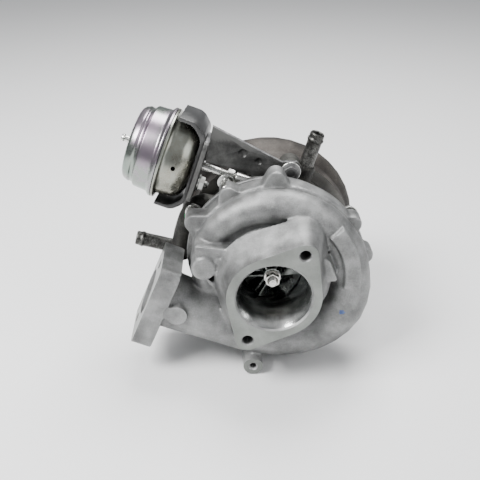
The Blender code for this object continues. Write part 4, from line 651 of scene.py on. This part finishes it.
outletFace = placed(single(addBlock, (-40, halfThick, -50), (40, halfThick + 8, 50)),
                    outletFrame)
bossFace = single(addPost, *ductBoss["place"], 8.0, ductBoss["face"], ductBoss["cutter"])
holes = [bolthole(*polar(housing["holeCircle"], angle), 0.0, 3.6, 16.0)
         for angle in housing["holeAngles"]]
holes.append(bolthole(*footBoss["place"], footBoss["face"], footBoss["hole"], 12.0, 1.0))
for angle in housing["boltAngles"]:
    holes.append(single(addPost, *polar(housing["boltCircle"], angle), 49.0, 60.0,
                        housing["boltHole"]))
for side in (-1, 1):
    holes.append(placed(single(addPost, 0.0, side * duct["boltSpread"] / 2, -halfThick - 3.0,
                               halfThick + 3.0, duct["boltHole"]), outletFrame))
cast = cutFrom(cast, [faceCut, mouthCut, backCut, footCut, bossFace, passage, ductCut, outletCut,
                      outletFace, *holes])


def onInletFace(place, normal):
    return place.y < 0.02 and normal.y < -0.9


def inBore(place, normal):
    return place.y < 46.1 and normal.y > -0.5 and math.hypot(place.x, place.z) < between(
        -place.y, (0.0, -1.2, -20.0, -35.0, -41.0, -47.0), (26.6, 25.2, 20.2, 21.5, 31.0, 31.0))


def machinedSpot(place, normal):
    x, z = footBoss["place"]
    if place.y > 57.97 or (math.hypot(place.x - x, place.z - z) < 6.6 and place.y < 16.1):
        return True
    return (outletFrame.inverted() @ place).y > halfThick - 0.02


paint(cast, 1, onInletFace)
paint(cast, 1, machinedSpot)
paint(cast, 2, inBore)
bluePlace = Vector((49.2, 24.0, -26.0))
paint(cast, 3, lambda place, normal: (place - bluePlace).length < 5.0 and math.hypot(
    place.x - bluePlace.x, place.z - bluePlace.z) < 2.0)
finishPiece("compressorHousing", cast, "housing",
            ["castAluminium", "machinedAluminium", "boredAluminium", "bluePaint"],
            ["compressor_housing"])
print("compressor housing done")

# Backplate
backplate = {"front": 46.3, "webBack": 52.3, "rimFront": 58.3, "back": 62.0, "rim": 60.7,
             "recess": 53.7, "bore": 6.55}
plate = spun(rounded([
    (backplate["front"], backplate["bore"]), (backplate["front"], backplate["recess"]),
    (backplate["rimFront"], backplate["recess"]), (backplate["rimFront"], backplate["rim"]),
    (backplate["back"], backplate["rim"]), (backplate["back"], 40.0),
    (backplate["webBack"], 38.0), (backplate["webBack"], 14.0), (backplate["webBack"] + 3, 12.0),
    (backplate["webBack"] + 3, backplate["bore"])], 0.7), 128)
finishPiece("compressorBackplate", plate, "housing",
            ["castAluminium"], ["compressor_backplate"])

# Compressor wheel, shaft and nut
wheel = {"nose": 27.3, "back": 45.6, "noseRadius": 6.0, "inletRadius": 19.4, "radius": 26.0,
         "bore": 3.35, "hubBack": 44.6, "blades": 6, "thickness": 0.8, "wrap": 70.0}


def addBlade(shape, start, firstShare, hubFront, hubRadius, hubBack, hubRim, tipFront, tipRadius,
             tipBack, tipRim, wrap, thickness):
    part = bmesh.new()
    bmesh.ops.create_grid(part, x_segments=18, y_segments=6, size=0.5)
    for vert in part.verts:
        share = firstShare + (1.0 - firstShare) * (vert.co.x + 0.5)
        height = vert.co.y + 0.5
        quarter = math.pi / 2 * share
        hub = Vector((hubFront + (hubBack - hubFront) * math.sin(quarter),
                      hubRadius + (hubRim - hubRadius) * (1 - math.cos(quarter))))
        tip = Vector((tipFront + (tipBack - tipFront) * math.sin(quarter),
                      tipRadius + (tipRim - tipRadius) * (1 - math.cos(quarter))))
        along, radius = hub.lerp(tip, height)
        x, z = polar(radius, start + wrap * share ** 0.8)
        vert.co = (x, along, z)
    bmesh.ops.recalc_face_normals(part, faces=part.faces)
    bmesh.ops.solidify(part, geom=part.faces[:], thickness=thickness)
    bmesh.ops.recalc_face_normals(part, faces=part.faces)
    joinInto(shape, part)


hubPoints = [(wheel["nose"], wheel["bore"]), (wheel["nose"], 5.4)]
hubSteps = 18
hubStart = wheel["nose"] + 0.5
for step in range(hubSteps + 1):
    quarter = math.pi / 2 * step / hubSteps
    hubPoints.append((hubStart + (wheel["hubBack"] - hubStart) * math.sin(quarter),
                      wheel["noseRadius"] + (wheel["radius"] - wheel["noseRadius"])
                      * (1 - math.cos(quarter))))
wheelShape = spun([*hubPoints, (wheel["back"], wheel["radius"]), (wheel["back"], wheel["bore"])],
                  96)
for index in range(2 * wheel["blades"]):
    addBlade(wheelShape, index * 180.0 / wheel["blades"], 0.02 if index % 2 == 0 else 0.3,
             27.9, 5.5, 44.9, 25.9, 28.7, wheel["inletRadius"], 41.4, wheel["radius"] - 0.1,
             wheel["wrap"], wheel["thickness"])
finishPiece("compressorWheel", wheelShape, "rotor",
            ["wheelAluminium"], ["compressor_wheel"])
shaftNut = hexNut(5.2, 3.3, 21.8, 27.0, 0.7)
joinInto(shaftNut, spun([(26.2, 3.3), (26.2, 5.6), (27.0, 5.6), (27.0, 3.3)], 64))
finishPiece("shaftNut", shaftNut, "rotor", ["brightSteel"],
            ["shaft_nut"])
shaftShape = spun([(19.6, 0.0), (19.0, 1.1), (19.0, 2.5), *threadProfile(19.4, 27.4, 3.0, 0.8),
                   (27.6, 3.0), (66.9, 3.0), (66.9, 4.0), (87.1, 4.0), (87.1, 7.9), (94.1, 7.9),
                   (94.1, 0.0)], 64)
finishPiece("turbineShaft", shaftShape, "rotor", ["brightSteel"],
            ["shaft"])
print("rotor done")

# Actuator: the can, its rod, the strap and the bracket. Y runs along the rod to its pin
can = {"rim": -68.0, "rimRadius": 32.3, "rear": 29.6, "front": 28.6, "frontLength": 22.0,
       "rearLength": 23.5, "wall": 1.4, "rod": 3.0, "ventAngle": 5.4, "ventAlong": -57.1,
       "ventRadius": 1.6}
rim, frontFace = can["rim"], can["rim"] + can["frontLength"]
front, rear, wall = can["front"], can["rear"], can["wall"]
outside = [(rim + 2.0, can["rimRadius"]), (rim + 2.6, front + 0.7), (rim + 4.4, front),
           (frontFace - 8.0, front - 0.8), (frontFace - 3.4, front - 3.4),
           (frontFace - 0.8, front - 8.5), (frontFace, front - 10.5),
           (frontFace, can["rod"] + 1.6)]
inside = [(frontFace - wall, can["rod"] + 1.6), (frontFace - wall, front - 9.0),
          (frontFace - 5.0 - wall, front - 2.0 - wall), (rim + 4.0, front - wall),
          (rim + 0.4, front - wall)]
canFront = spun([(rim + 0.4, can["rimRadius"] - 0.5), *rounded(
    [(rim + 0.4, can["rimRadius"]), *outside], 1.6), *inside], 144)
ventX, ventZ = polar(1.0, can["ventAngle"])
ventSide = Vector((ventX, 0.0, ventZ))
ventPlace = ventSide * 28.0 + Vector((0, can["ventAlong"], 0))
canFront = cutFrom(canFront, [single(addBar, ventPlace - ventSide * 4, ventPlace + ventSide * 4,
                                     can["ventRadius"], segments=24)])
finishPiece("canFront", canFront, "housing", ["zincYellow"],
            ["actuator_can_front"], canFrame)
end = rim - can["rearLength"]
canRear = spun([(rim - 0.2, rear - wall), *rounded([
    (rim - 0.2, can["rimRadius"] + 0.1), (rim - 1.6, can["rimRadius"] + 0.2),
    (rim - 2.6, rear + 1.8), (rim - 3.8, rear + 0.4), (rim - 13.6, rear - 0.3),
    (end + 9.4, rear - 0.9), (end + 8.4, rear - 2.2), (end + 6.8, rear - 2.9),
    (end + 5.6, rear - 2.2), (end + 4.6, rear - 2.4), (end + 1.8, rear - 3.6),
    (end + 0.4, rear - 5.4), (end, rear - 8.0), (end, 9.0), (end - 0.0, 2.4)], 0.9),
    (end + wall, 2.4), (end + wall, rear - 6.5), (end + wall + 5.0, rear - 4.4),
    (rim - 14.0, rear - wall - 1.0)], 144)
finishPiece("canRear", canRear, "housing", ["zincBlue"],
            ["actuator_can_rear"], canFrame)
nipple = spun([(end + wall + 1.5, 0.9), (end + wall + 1.5, 2.1), *rounded([
    (end - 0.6, 2.1), (end - 0.6, 3.6), (end - 2.0, 3.6), (end - 2.4, 2.4), (end - 6.0, 2.2),
    (end - 7.0, 2.9), (end - 8.6, 2.3), (end - 8.6, 0.9)], 0.4)], 48)
finishPiece("vacuumNipple", nipple, "housing", ["brightZinc"],
            ["vacuum_nipple"], canFrame)
rodTip = -16.0
rod = spun([(-64.5, 0.0), (-64.5, 2.6), (-64.1, can["rod"]), (-27.0, can["rod"]),
            *threadProfile(-26.8, rodTip, can["rod"], 0.9, 0.35), (rodTip, 0.0)], 64)
finishPiece("actuatorRod", rod, "rod", ["brightZinc"],
            ["actuator_rod"], canFrame)
finishPiece("rodLocknut", hexNut(5.4, 3.3, -21.6, -17.2), "rod",
            ["brightZinc"], ["rod_locknut"], canFrame)
socket = spun(rounded([(-15.6, 0.0), (-15.6, 4.2), (-5.5, 4.4), (-3.0, 3.2), (-3.0, 0.0)], 0.7),
              48)
acrossRod = canFrame.to_3x3().inverted().to_4x4()  # the eye lies along the shaft
eye = spun(rounded([(-2.7, 0.0), (-2.7, 5.6), (0.0, 6.0), (2.7, 5.6), (2.7, 0.0)], 0.6), 64)
eyeHole = spun([(-5.0, 0.0), (-5.0, 5.2), (-2.2, 3.7), (2.2, 3.7), (5.0, 5.2), (5.0, 0.0)], 48)
rodEnd = cutFrom(joined(socket, [placed(eye, acrossRod)]), [placed(eyeHole, acrossRod)])
finishPiece("rodEnd", rodEnd, "rod", ["brightZinc"], ["rod_end"],
            canFrame)

crankPlace = (-16.31, 31.83)
crank = {"length": 18.0, "front": 77.4, "back": 80.4, "pin": 2.5, "hub": 6.0, "tip": 4.6,
         "head": 3.6}
leverAngle = math.atan2(pinPlace.z - crankPlace[1], pinPlace.x - crankPlace[0])
lever = bmesh.new()
for hubFront, radius in ((crank["front"], crank["hub"]),
                         (crank["front"] - 0.7, crank["hub"] - 2.2)):
    addHull(lever, [(0.0, 0.0, hubFront, radius), (0.0, 0.0, crank["back"], radius)])
addHull(lever, [(x, 0.0, depth, radius) for x, radius in ((0.0, crank["hub"]),
                                                          (crank["length"], crank["tip"]))
                for depth in (crank["front"], crank["back"])])
lever = cutFrom(fused(lever, 0.35, 2), [single(addPost, 0, 0, 74, 84, 3.3),
                                        single(addPost, crank["length"], 0, 74, 84,
                                               crank["pin"] + 0.3)])
leverFrame = Matrix.Translation((crankPlace[0], 0.0, crankPlace[1])) @ Matrix.Rotation(
    -leverAngle, 4, "Y")
finishPiece("crankLever", lever, "crank", ["darkSteel"],
            ["crank_lever"], leverFrame)
pin = spun(rounded([(67.5, 0.0), (67.5, crank["pin"]), (crank["back"], crank["pin"]),
                    (crank["back"], 0.0)], 0.5), 48)
joinInto(pin, spun(rounded([(67.2, 0.0), (67.2, crank["head"]), (68.0, crank["head"]),
                            (68.0, 0.0)], 0.3), 48))
finishPiece("crankPin", moved(pin, pinPlace.x, 0.0, pinPlace.z), "crank",
            ["brightSteel"], ["crank_pin"])

strap = {"gap": 2.6, "width": 30.0, "thick": 2.4, "shoulder": 8.0, "bend": 3.4}
studs = {"x": -2.8, "up": {"upper": 14.6, "lower": -14.6}, "hole": 3.3, "rodHole": 5.0}
baseFront, baseBack = frontFace + 0.3, frontFace + 2.7
reach, thick = front + strap["gap"], strap["thick"]
armStart = rim + 4.0


def studHoles(holeFront, holeBack):  # through the strap and through the bracket
    return [single(addPost, 0, 0, holeFront - 2, holeBack + 2, studs["rodHole"]),
            *(single(addPost, studs["x"], up, holeFront - 2, holeBack + 2, studs["hole"])
              for up in studs["up"].values())]


def strapOutline(grow, front):
    cut = strap["shoulder"]
    return [(armStart, reach + grow), (front - cut, reach + grow), (front, reach + grow - cut),
            (front, cut - reach - grow), (front - cut, -reach - grow), (armStart, -reach - grow)]


cradle = bmesh.new()
corners = [cradle.verts.new((-strap["width"] / 2, along, up)) for along, up in
           strapOutline(thick, baseBack) + strapOutline(0.0, baseFront)[::-1]]
cradle.faces.new(corners)
bends = [corners[index] for index in (1, 2, 3, 4, 7, 8, 9, 10)]
bmesh.ops.bevel(cradle, geom=bends, offset=strap["bend"], segments=5, profile=0.5,
                affect="VERTICES", material=-1)
cradle = cutFrom(extruded(cradle, (strap["width"], 0.0, 0.0)), studHoles(baseFront, baseBack))
soften(cradle, 0.35, 50.0)
# Only the upper arm's cut edges take the bare cutEdge finish, a painted highlight along them; the
# lower arm's cut edges stay black as painted shade so they show less
paint(cradle, 1, lambda place, normal: place.z > 20.0 and abs(place.x) > 14.7)
finishPiece("actuatorCradle", cradle, "housing",
            ["blackStrap", "cutEdge"], ["actuator_cradle"], canFrame)

bracket = {"front": 69.0, "thick": 3.0, "bolt": (13.4, 60.4), "ear": 8.0, "boltHole": 3.3,
           "dimples": ((-20.0, 74.0, 4.4), (-9.0, 68.0, 3.6)), "sunk": 0.66}
flangeFront = baseBack + 0.3
flangeBack = flangeFront + bracket["thick"]
plateShape = bmesh.new()
outline = [(-40.0, 93.5), (7.0, 67.5)]
boltX, boltZ = bracket["bolt"]
for angle in range(60, -91, -10):
    x, z = polar(bracket["ear"], angle)
    outline.append((boltX + x, boltZ + z))
outline += [(-14.0, 57.5), (-46.0, 68.2)]
addPlate(plateShape, outline, bracket["front"], bracket["front"] + bracket["thick"])
flangeShape = single(addPlate, [(-11.0, -23.0), (19.0, -23.0), (19.0, 23.0), (-11.0, 23.0)],
                     flangeFront, flangeBack, 5.0)
plateShape = joined(plateShape, [placed(flangeShape, canFrame)])
bracketHoles = [placed(hole, canFrame) for hole in studHoles(flangeFront, flangeBack)]
bracketHoles.append(single(addPost, boltX, boltZ, 66.0, 75.0, bracket["boltHole"]))
for x, z, size in bracket["dimples"]:
    dimple = bmesh.new()
    dimplePlace = (x, bracket["front"] - bracket["sunk"] * size, z)
    bmesh.ops.create_uvsphere(dimple, u_segments=32, v_segments=16, radius=size,
                              matrix=Matrix.Translation(dimplePlace))
    bracketHoles.append(dimple)
plateShape = cutFrom(plateShape, bracketHoles)
soften(plateShape, 0.4, 50.0)
paint(plateShape, 1, lambda place, normal: abs(normal.y) < 0.5 and bracket["front"] - 0.1
      < place.y < bracket["front"] + bracket["thick"] + 0.1 and abs(normal.dot(rodWay)) < 0.9)
finishPiece("actuatorBracket", plateShape, "housing",
            ["phosphate", "cutEdge"], ["actuator_bracket"])


def flangedBolt(frontAt, seat, headRadius, flangeRadius, shank, tip):  # head towards the front
    head = hexNut(headRadius, 0.0, frontAt, seat - 1.4, 0.8)
    joinInto(head, spun(rounded([(seat - 3.0, 0.0), (seat - 2.2, headRadius * 0.92),
                                 (seat - 0.9, flangeRadius), (seat, flangeRadius),
                                 (seat, shank), (tip - 0.8, shank), (tip, shank - 0.8),
                                 (tip, 0.0)], 0.4), 64))
    return head


boltShape = flangedBolt(64.4, 68.7, 5.2, 7.2, 3.0, 80.0)
boltShape = cutFrom(boltShape, [spun([(63.0, 0.0), (63.0, 3.4), (64.9, 2.8), (64.9, 0.0)], 40)])
paint(boltShape, 1, lambda place, normal: math.hypot(place.x, place.z) < 6.4 and place.y < 68.2)
finishPiece("bracketBolt", moved(boltShape, boltX, 0.0, boltZ), "housing",
            ["brightZinc", "darkSteel"], ["bracket_bolt"])
for name, up in studs["up"].items():
    stud = spun([(frontFace + 0.3, 0.0), (frontFace + 0.3, 3.0), (flangeBack + 0.2, 3.0),
                 *threadProfile(flangeBack + 0.3, flangeBack + 7.4, 3.0, 0.9, 0.35),
                 (flangeBack + 8.0, 2.2), (flangeBack + 8.0, 0.0)], 48)
    finishPiece(f"canStud_{name}", moved(stud, studs["x"], 0.0, up), "housing",
                ["brightZinc"], [f"can_stud_{name}"], canFrame)
    nut = hexNut(5.6, 3.3, flangeBack + 0.3, flangeBack + 4.8)
    joinInto(nut, spun(rounded([(flangeBack + 0.3, 3.3), (flangeBack + 0.3, 6.6),
                                (flangeBack + 1.2, 6.4), (flangeBack + 1.6, 5.0),
                                (flangeBack + 1.6, 3.3)], 0.3), 48))
    finishPiece(f"canNut_{name}", moved(nut, studs["x"], 0.0, up), "housing",
                ["brightZinc"], [f"can_nut_{name}"], canFrame)
print("actuator done")

# Bearing housing and pipes
iron = {"grain": 1.0, "rounds": 3, "front": 62.3, "flangeBack": 66.3, "hotFront": 84.0,
        "hotBack": 88.0, "flange": 52.0, "core": 29.0, "hotFlange": 54.0, "nose": 16.0,
        "drainDepth": 75.5, "drainFace": -50.0, "drainBore": 5.5}
pipe = {"radius": 5.2, "bore": 3.7, "right": ((26.0, 80.3, 62.5), (32.4, 80.3, 84.4)),
        "left": ((-64.0, 77.0, -6.2), (-99.7, 77.0, 3.4))}
centre = bmesh.new()
addPost(centre, 0, 0, 61.0, iron["flangeBack"], iron["flange"], segments=128)
addPost(centre, 0, 0, 65.0, iron["hotFront"] + 1, iron["core"], iron["core"] - 2, 96)
addPost(centre, 0, 0, iron["hotFront"], iron["hotBack"] + 1.5, iron["hotFlange"], segments=128)
addPost(centre, 0, 0, 86.0, 94.5, iron["nose"], segments=96)
addPost(centre, *crankPlace, 81.4, 86.0, 8.0)
addPost(centre, boltX, boltZ, 72.3, 85.7, 7.5)
rightBase, rightTip = Vector(pipe["right"][0]), Vector(pipe["right"][1])
inward = (rightBase - rightTip).normalized()
addBar(centre, rightBase + inward * 38.0, rightBase + inward * 2.0, 7.6, 7.0)
addPlate(centre, [(6, 24), (18, 20), (21, 50), (17, 58), (8, 60)], 73.0, 86.6)
addPlate(centre, [(-15, -20), (15, -20), (20, -51.5), (-20, -51.5)], 68.0, 83.0, 3.0)
route = [(-18, 12), (-38, 27), (-43.5, 30.6), (-48, 31.5), (-52.6, 30.2), (-56, 27),
         (-59.4, 21), (-61.5, 15), (-63.6, 8), (-65, 2), (-67.5, -13)]
stations = []
for index, (x, z) in enumerate(route):
    before, after = route[max(index - 1, 0)], route[min(index + 1, len(route) - 1)]
    heading = Vector((after[0] - before[0], after[1] - before[1])).normalized()
    stations.append(ringFrame((x, 77.0, z), (-heading.y, heading.x), 7.5))
addSweep(centre, stations, 40)
leftBase, leftTip = Vector(pipe["left"][0]), Vector(pipe["left"][1])
leftWay = (leftTip - leftBase).normalized()
addBar(centre, leftBase - leftWay * 2.0, leftBase + leftWay * 6.5, 7.6, 7.0)
centre = fused(centre, iron["grain"], iron["rounds"])
bores = spun([(58.0, 0.0), (58.0, 24.3), (65.9, 24.3), (65.9, 10.0), (70.0, 10.0), (70.0, 7.0),
              (86.8, 7.0), (86.8, 8.25), (99.0, 8.25), (99.0, 0.0)], 96)
centre = cutFrom(centre, [
    single(addBlock, (-80, 55, -80), (80, iron["front"], 80)),
    spun([(iron["hotBack"], iron["nose"]), (iron["hotBack"], 70.0), (99.0, 70.0),
          (99.0, iron["nose"])], 96),
    spun([(93.0, 0.0), (93.0, 20.0), (99.0, 20.0), (99.0, 0.0)], 64), bores,
    single(addPost, *crankPlace, 76.0, 92.0, 5.3),
    single(addPost, boltX, boltZ, 68, 82, bracket["boltHole"]),
    single(addBar, rightBase + inward * 8.3, rightBase - inward * 12.0, 5.5),
    single(addBar, leftBase - leftWay * 0.3, leftBase + leftWay * 20.0, 5.5),
    single(addBar, (0, iron["drainDepth"], -56), (0, iron["drainDepth"], -24),
           iron["drainBore"]),
    single(addBlock, (-40, 60, -58), (40, 92, iron["drainFace"]))])
greenPlace = Vector((-60.3, 77.0, 24.6))
paint(centre, 1, lambda place, normal: place.y < iron["front"] + 0.05
      or place.z < iron["drainFace"] + 0.05)
paint(centre, 2, lambda place, normal: (place - greenPlace).length < 8.4 and math.hypot(
    place.x - greenPlace.x, place.z - greenPlace.z) < 2.0 and place.y < 77.0)
finishPiece("bearingHousing", centre, "housing",
            ["bearingIron", "machinedIron", "greenPaint"],
            ["bearing_housing"])
for name, base, tip, start in (("right", rightBase, rightTip, 8.0), ("left", leftBase, leftTip,
                                                                   0.0)):
    length = (tip - base).length
    shape = spun([(-start, pipe["bore"]), *rounded([
        (-start, pipe["radius"]), (length - 6.5, pipe["radius"]), (length - 5.6, 5.8),
        (length - 4.4, 5.8), (length - 3.5, pipe["radius"]), (length - 0.7, pipe["radius"]),
        (length, 4.6)], 0.5), (length, 4.2), (length - 0.6, pipe["bore"])], 64)
    finishPiece(f"coolantPipe_{name}", shape, "housing", ["drawnPipe"],
                [f"coolant_pipe_{name}"], pointingFrame(base, tip - base, (0, 1, 0)))
for index, angle in enumerate(housing["boltAngles"]):
    shape = placed(flangedBolt(-67.1, -62.3, 5.2, 6.0, 3.0, -50.0),
                   Matrix.Rotation(math.pi, 4, "Z"))
    x, z = polar(housing["boltCircle"], angle)
    finishPiece(f"compressorBolt_{index + 1}", moved(shape, x, 0.0, z), "housing",
                ["brightZinc"], [f"compressor_bolt_{index + 1}"])
print("bearing housing done")

# Turbine housing
hot = {"grain": 1.15, "rounds": 4, "face": 88.3, "circle": 49.0, "depth": 113.0, "large": 19.5,
       "small": 16.5, "lip": 62.0, "lipBack": 100.4, "outlet": 150.0, "floor": -78.0,
       "foot": (-24.0, 117.0), "footSize": (80.0, 56.0), "footTop": -68.0, "allowance": 2.0,
       "footBolts": (31.0, 19.0), "footBoltHole": 4.5}


def hotStations(inset):
    steps = 33
    stations = []
    for step in range(steps + 1):
        angle = 185.0 - 330.0 * step / steps
        radius = hot["large"] + (hot["small"] - hot["large"]) * step / steps
        x, z = polar(hot["circle"], angle)
        stations.append(ringFrame((x, hot["depth"], z), polar(1.0, angle), radius - inset))
    return stations


def inletStations(inset, below=0.0):
    startX = -hot["circle"]
    stations = []
    for share in (0.0, 0.2, 0.4, 0.6, 0.8, 1.0):
        x = startX + (hot["foot"][0] - startX) * share ** 1.3
        y = hot["depth"] + (hot["foot"][1] - hot["depth"]) * share
        z = 6.0 + (hot["floor"] - below - 6.0) * share
        halfX, halfY = hot["large"] - inset + 5.0 * share, hot["large"] - inset
        flat = Matrix.Diagonal((halfX, halfY, 1.0, 1.0))
        flat.translation = (x, y, z)
        stations.append(flat)
    return stations


body = bmesh.new()
addSweep(body, hotStations(0.0), 56)
addPost(body, 0, 0, hot["face"] - 2.0, hot["lipBack"], hot["lip"], segments=144)
addPost(body, 0, 0, hot["lipBack"] - 1, hot["depth"], hot["lip"] - 1.5, 50.0, 128)
addPost(body, 0, 0, hot["depth"] - 1, 125.0, 50.0, 44.0, 96)
addPost(body, 0, 0, 124.0, 130.0, 44.0, 33.0, 96)
addPost(body, 0, 0, 126.0, 144.0, 33.0, segments=96)
addPost(body, 0, 0, 142.0, hot["outlet"] + hot["allowance"], 38.0, segments=96)
addSweep(body, inletStations(0.0), 56)
footX, footY = hot["foot"]
halfX, halfY = hot["footSize"][0] / 2, hot["footSize"][1] / 2
addBlock(body, (footX - halfX, footY - halfY, hot["floor"] - hot["allowance"]),
         (footX + halfX, footY + halfY, hot["footTop"]))
footBolts = [(footX + sideX * hot["footBolts"][0], footY + sideY * hot["footBolts"][1])
             for sideX in (-1, 1) for sideY in (-1, 1)]
for x, y in footBolts:
    addBar(body, (x, y, -76), (x, y, -66), 8.5, 7.5)
body = fused(body, hot["grain"], hot["rounds"])
hotBore = spun([(80.0, 0.0), (80.0, 50.5), (92.6, 50.5), (92.6, 46.3), (97.4, 46.3),
                (104.6, 49.0), (104.6, 22.5), (108.1, 21.0), (118.0, 21.0), (150.0, 26.0),
                (156.0, 30.0), (156.0, 0.0)], 128)
footHoles = [single(addBar, (x, y, -80), (x, y, -60), hot["footBoltHole"])
             for x, y in footBolts]
body = cutFrom(body, [single(addBlock, (-120, 70, -120), (120, hot["face"], 120)),
                      single(addBlock, (-120, hot["outlet"], -120), (120, 165, 120)),
                      single(addBlock, (-120, 60, -95), (120, 170, hot["floor"])), hotBore,
                      single(addSweep, hotStations(4.0), 40),
                      single(addSweep, inletStations(6.0, 2.0), 40), *footHoles])
paint(body, 1, lambda place, normal: place.y > hot["outlet"] - 0.05
      or place.z < hot["floor"] + 0.05 or place.y < hot["face"] + 0.05)
paint(body, 1, lambda place, normal: place.y > 107.0 and math.hypot(place.x, place.z)
      < 21.3 + max(place.y - 118.0, 0.0) * 0.17)
finishPiece("turbineHousing", body, "housing",
            ["turbineIron", "machinedIron"], ["turbine_housing"])

# Turbine wheel
turbine = {"back": 97.6, "radius": 22.0, "outletRadius": 20.4, "end": 118.0, "blades": 10}
backAt, discRadius = turbine["back"], turbine["radius"]
turbineShape = spun([(backAt - 3.2, 0.0), (backAt - 3.2, 7.9), (backAt, 8.9),
                     (backAt, discRadius), (backAt + 1.2, discRadius), (backAt + 3.0, 16.4),
                     (backAt + 5.0, 13.0), (backAt + 10.0, 9.5), (backAt + 16.0, 8.0),
                     (turbine["end"], 7.6), (120.0, 7.0),
                     (121.4, 5.0), (121.4, 2.4), (120.6, 0.0)], 96)
for index in range(turbine["blades"]):
    addBlade(turbineShape, index * 360.0 / turbine["blades"] + 180.0, 0.0, 118.4, 6.6, 98.4, 20.6,
             turbine["end"], turbine["outletRadius"], 104.4, 21.4, -30.0, 1.1)
finishPiece("turbineWheel", turbineShape, "rotor", ["nickelAlloy"],
            ["turbine_wheel"])
print("turbine done")

# CAD pieces that stay as they are take a finish
keptFinishes = {
    "oil_flinger": "brightSteel", "thrust_collar": "brightSteel", "crank_shaft": "brightSteel",
    "thrust_bearing": "bronze", "journal_bearing_front": "bronze",
    "journal_bearing_rear": "bronze", "crank_bush": "bronze", "bearing_spacer": "brightSteel",
    "heat_shield": "nickelAlloy", "nozzle_ring": "nickelAlloy", "unison_ring": "nickelAlloy",
    "actuator_piston": "brightZinc", "actuator_diaphragm": "rubber",
    "actuator_spring": "springSteel"}
for index in range(1, 10):
    keptFinishes[f"vane_{index}"] = "nickelAlloy"
for node, finish in keptFinishes.items():
    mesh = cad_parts[node].data
    mesh.materials.clear()
    mesh.materials.append(finishes[finish])

# Floor, light and camera
floorLook = bpy.data.materials.new("floor")
floorLook.use_nodes = True
floorShader = floorLook.node_tree.nodes["Principled BSDF"]
floorShader.inputs["Base Color"].default_value = (0.82, 0.82, 0.82, 1.0)
floorShader.inputs["Roughness"].default_value = 0.7
bpy.ops.mesh.primitive_plane_add(size=6.0, location=(0, 0, 0))
floor = bpy.context.object
floor.name = "floor"
floor.data.materials.append(floorLook)

world = bpy.data.worlds.new("studio")
bpy.context.scene.world = world
world.use_nodes = True
world.node_tree.nodes["Background"].inputs["Color"].default_value = (0.9, 0.92, 0.95, 1.0)
world.node_tree.nodes["Background"].inputs["Strength"].default_value = 0.42


def addLight(name, place, size, power, target=(0.0, 0.0, 0.09)):
    lamp = bpy.data.lights.new(name, "AREA")
    lamp.size = size
    lamp.energy = power
    thing = bpy.data.objects.new(name, lamp)
    bpy.context.scene.collection.objects.link(thing)
    thing.location = place
    thing.rotation_euler = (Vector(target) - Vector(place)).to_track_quat("-Z", "Y").to_euler()


addLight("key", (-0.55, -0.35, 0.85), 0.4, 20.0)
addLight("fill", (0.8, -0.5, 0.5), 0.7, 4.0)
addLight("top", (0.1, 0.4, 1.0), 0.5, 14.0)

mouthCentre = toWorld @ Vector((0, 0, 0))
lens = bpy.data.cameras.new("view")
lens.sensor_width = 36.0
lens.lens = 49.5
camera = bpy.data.objects.new("view", lens)
bpy.context.scene.collection.objects.link(camera)
camera.location = mouthCentre + Vector((-0.02558, -0.35393, 0.24937))
camera.rotation_euler = Vector((0.00756, 0.866, -0.5)).to_track_quat("-Z", "Y").to_euler()
bpy.context.scene.camera = camera
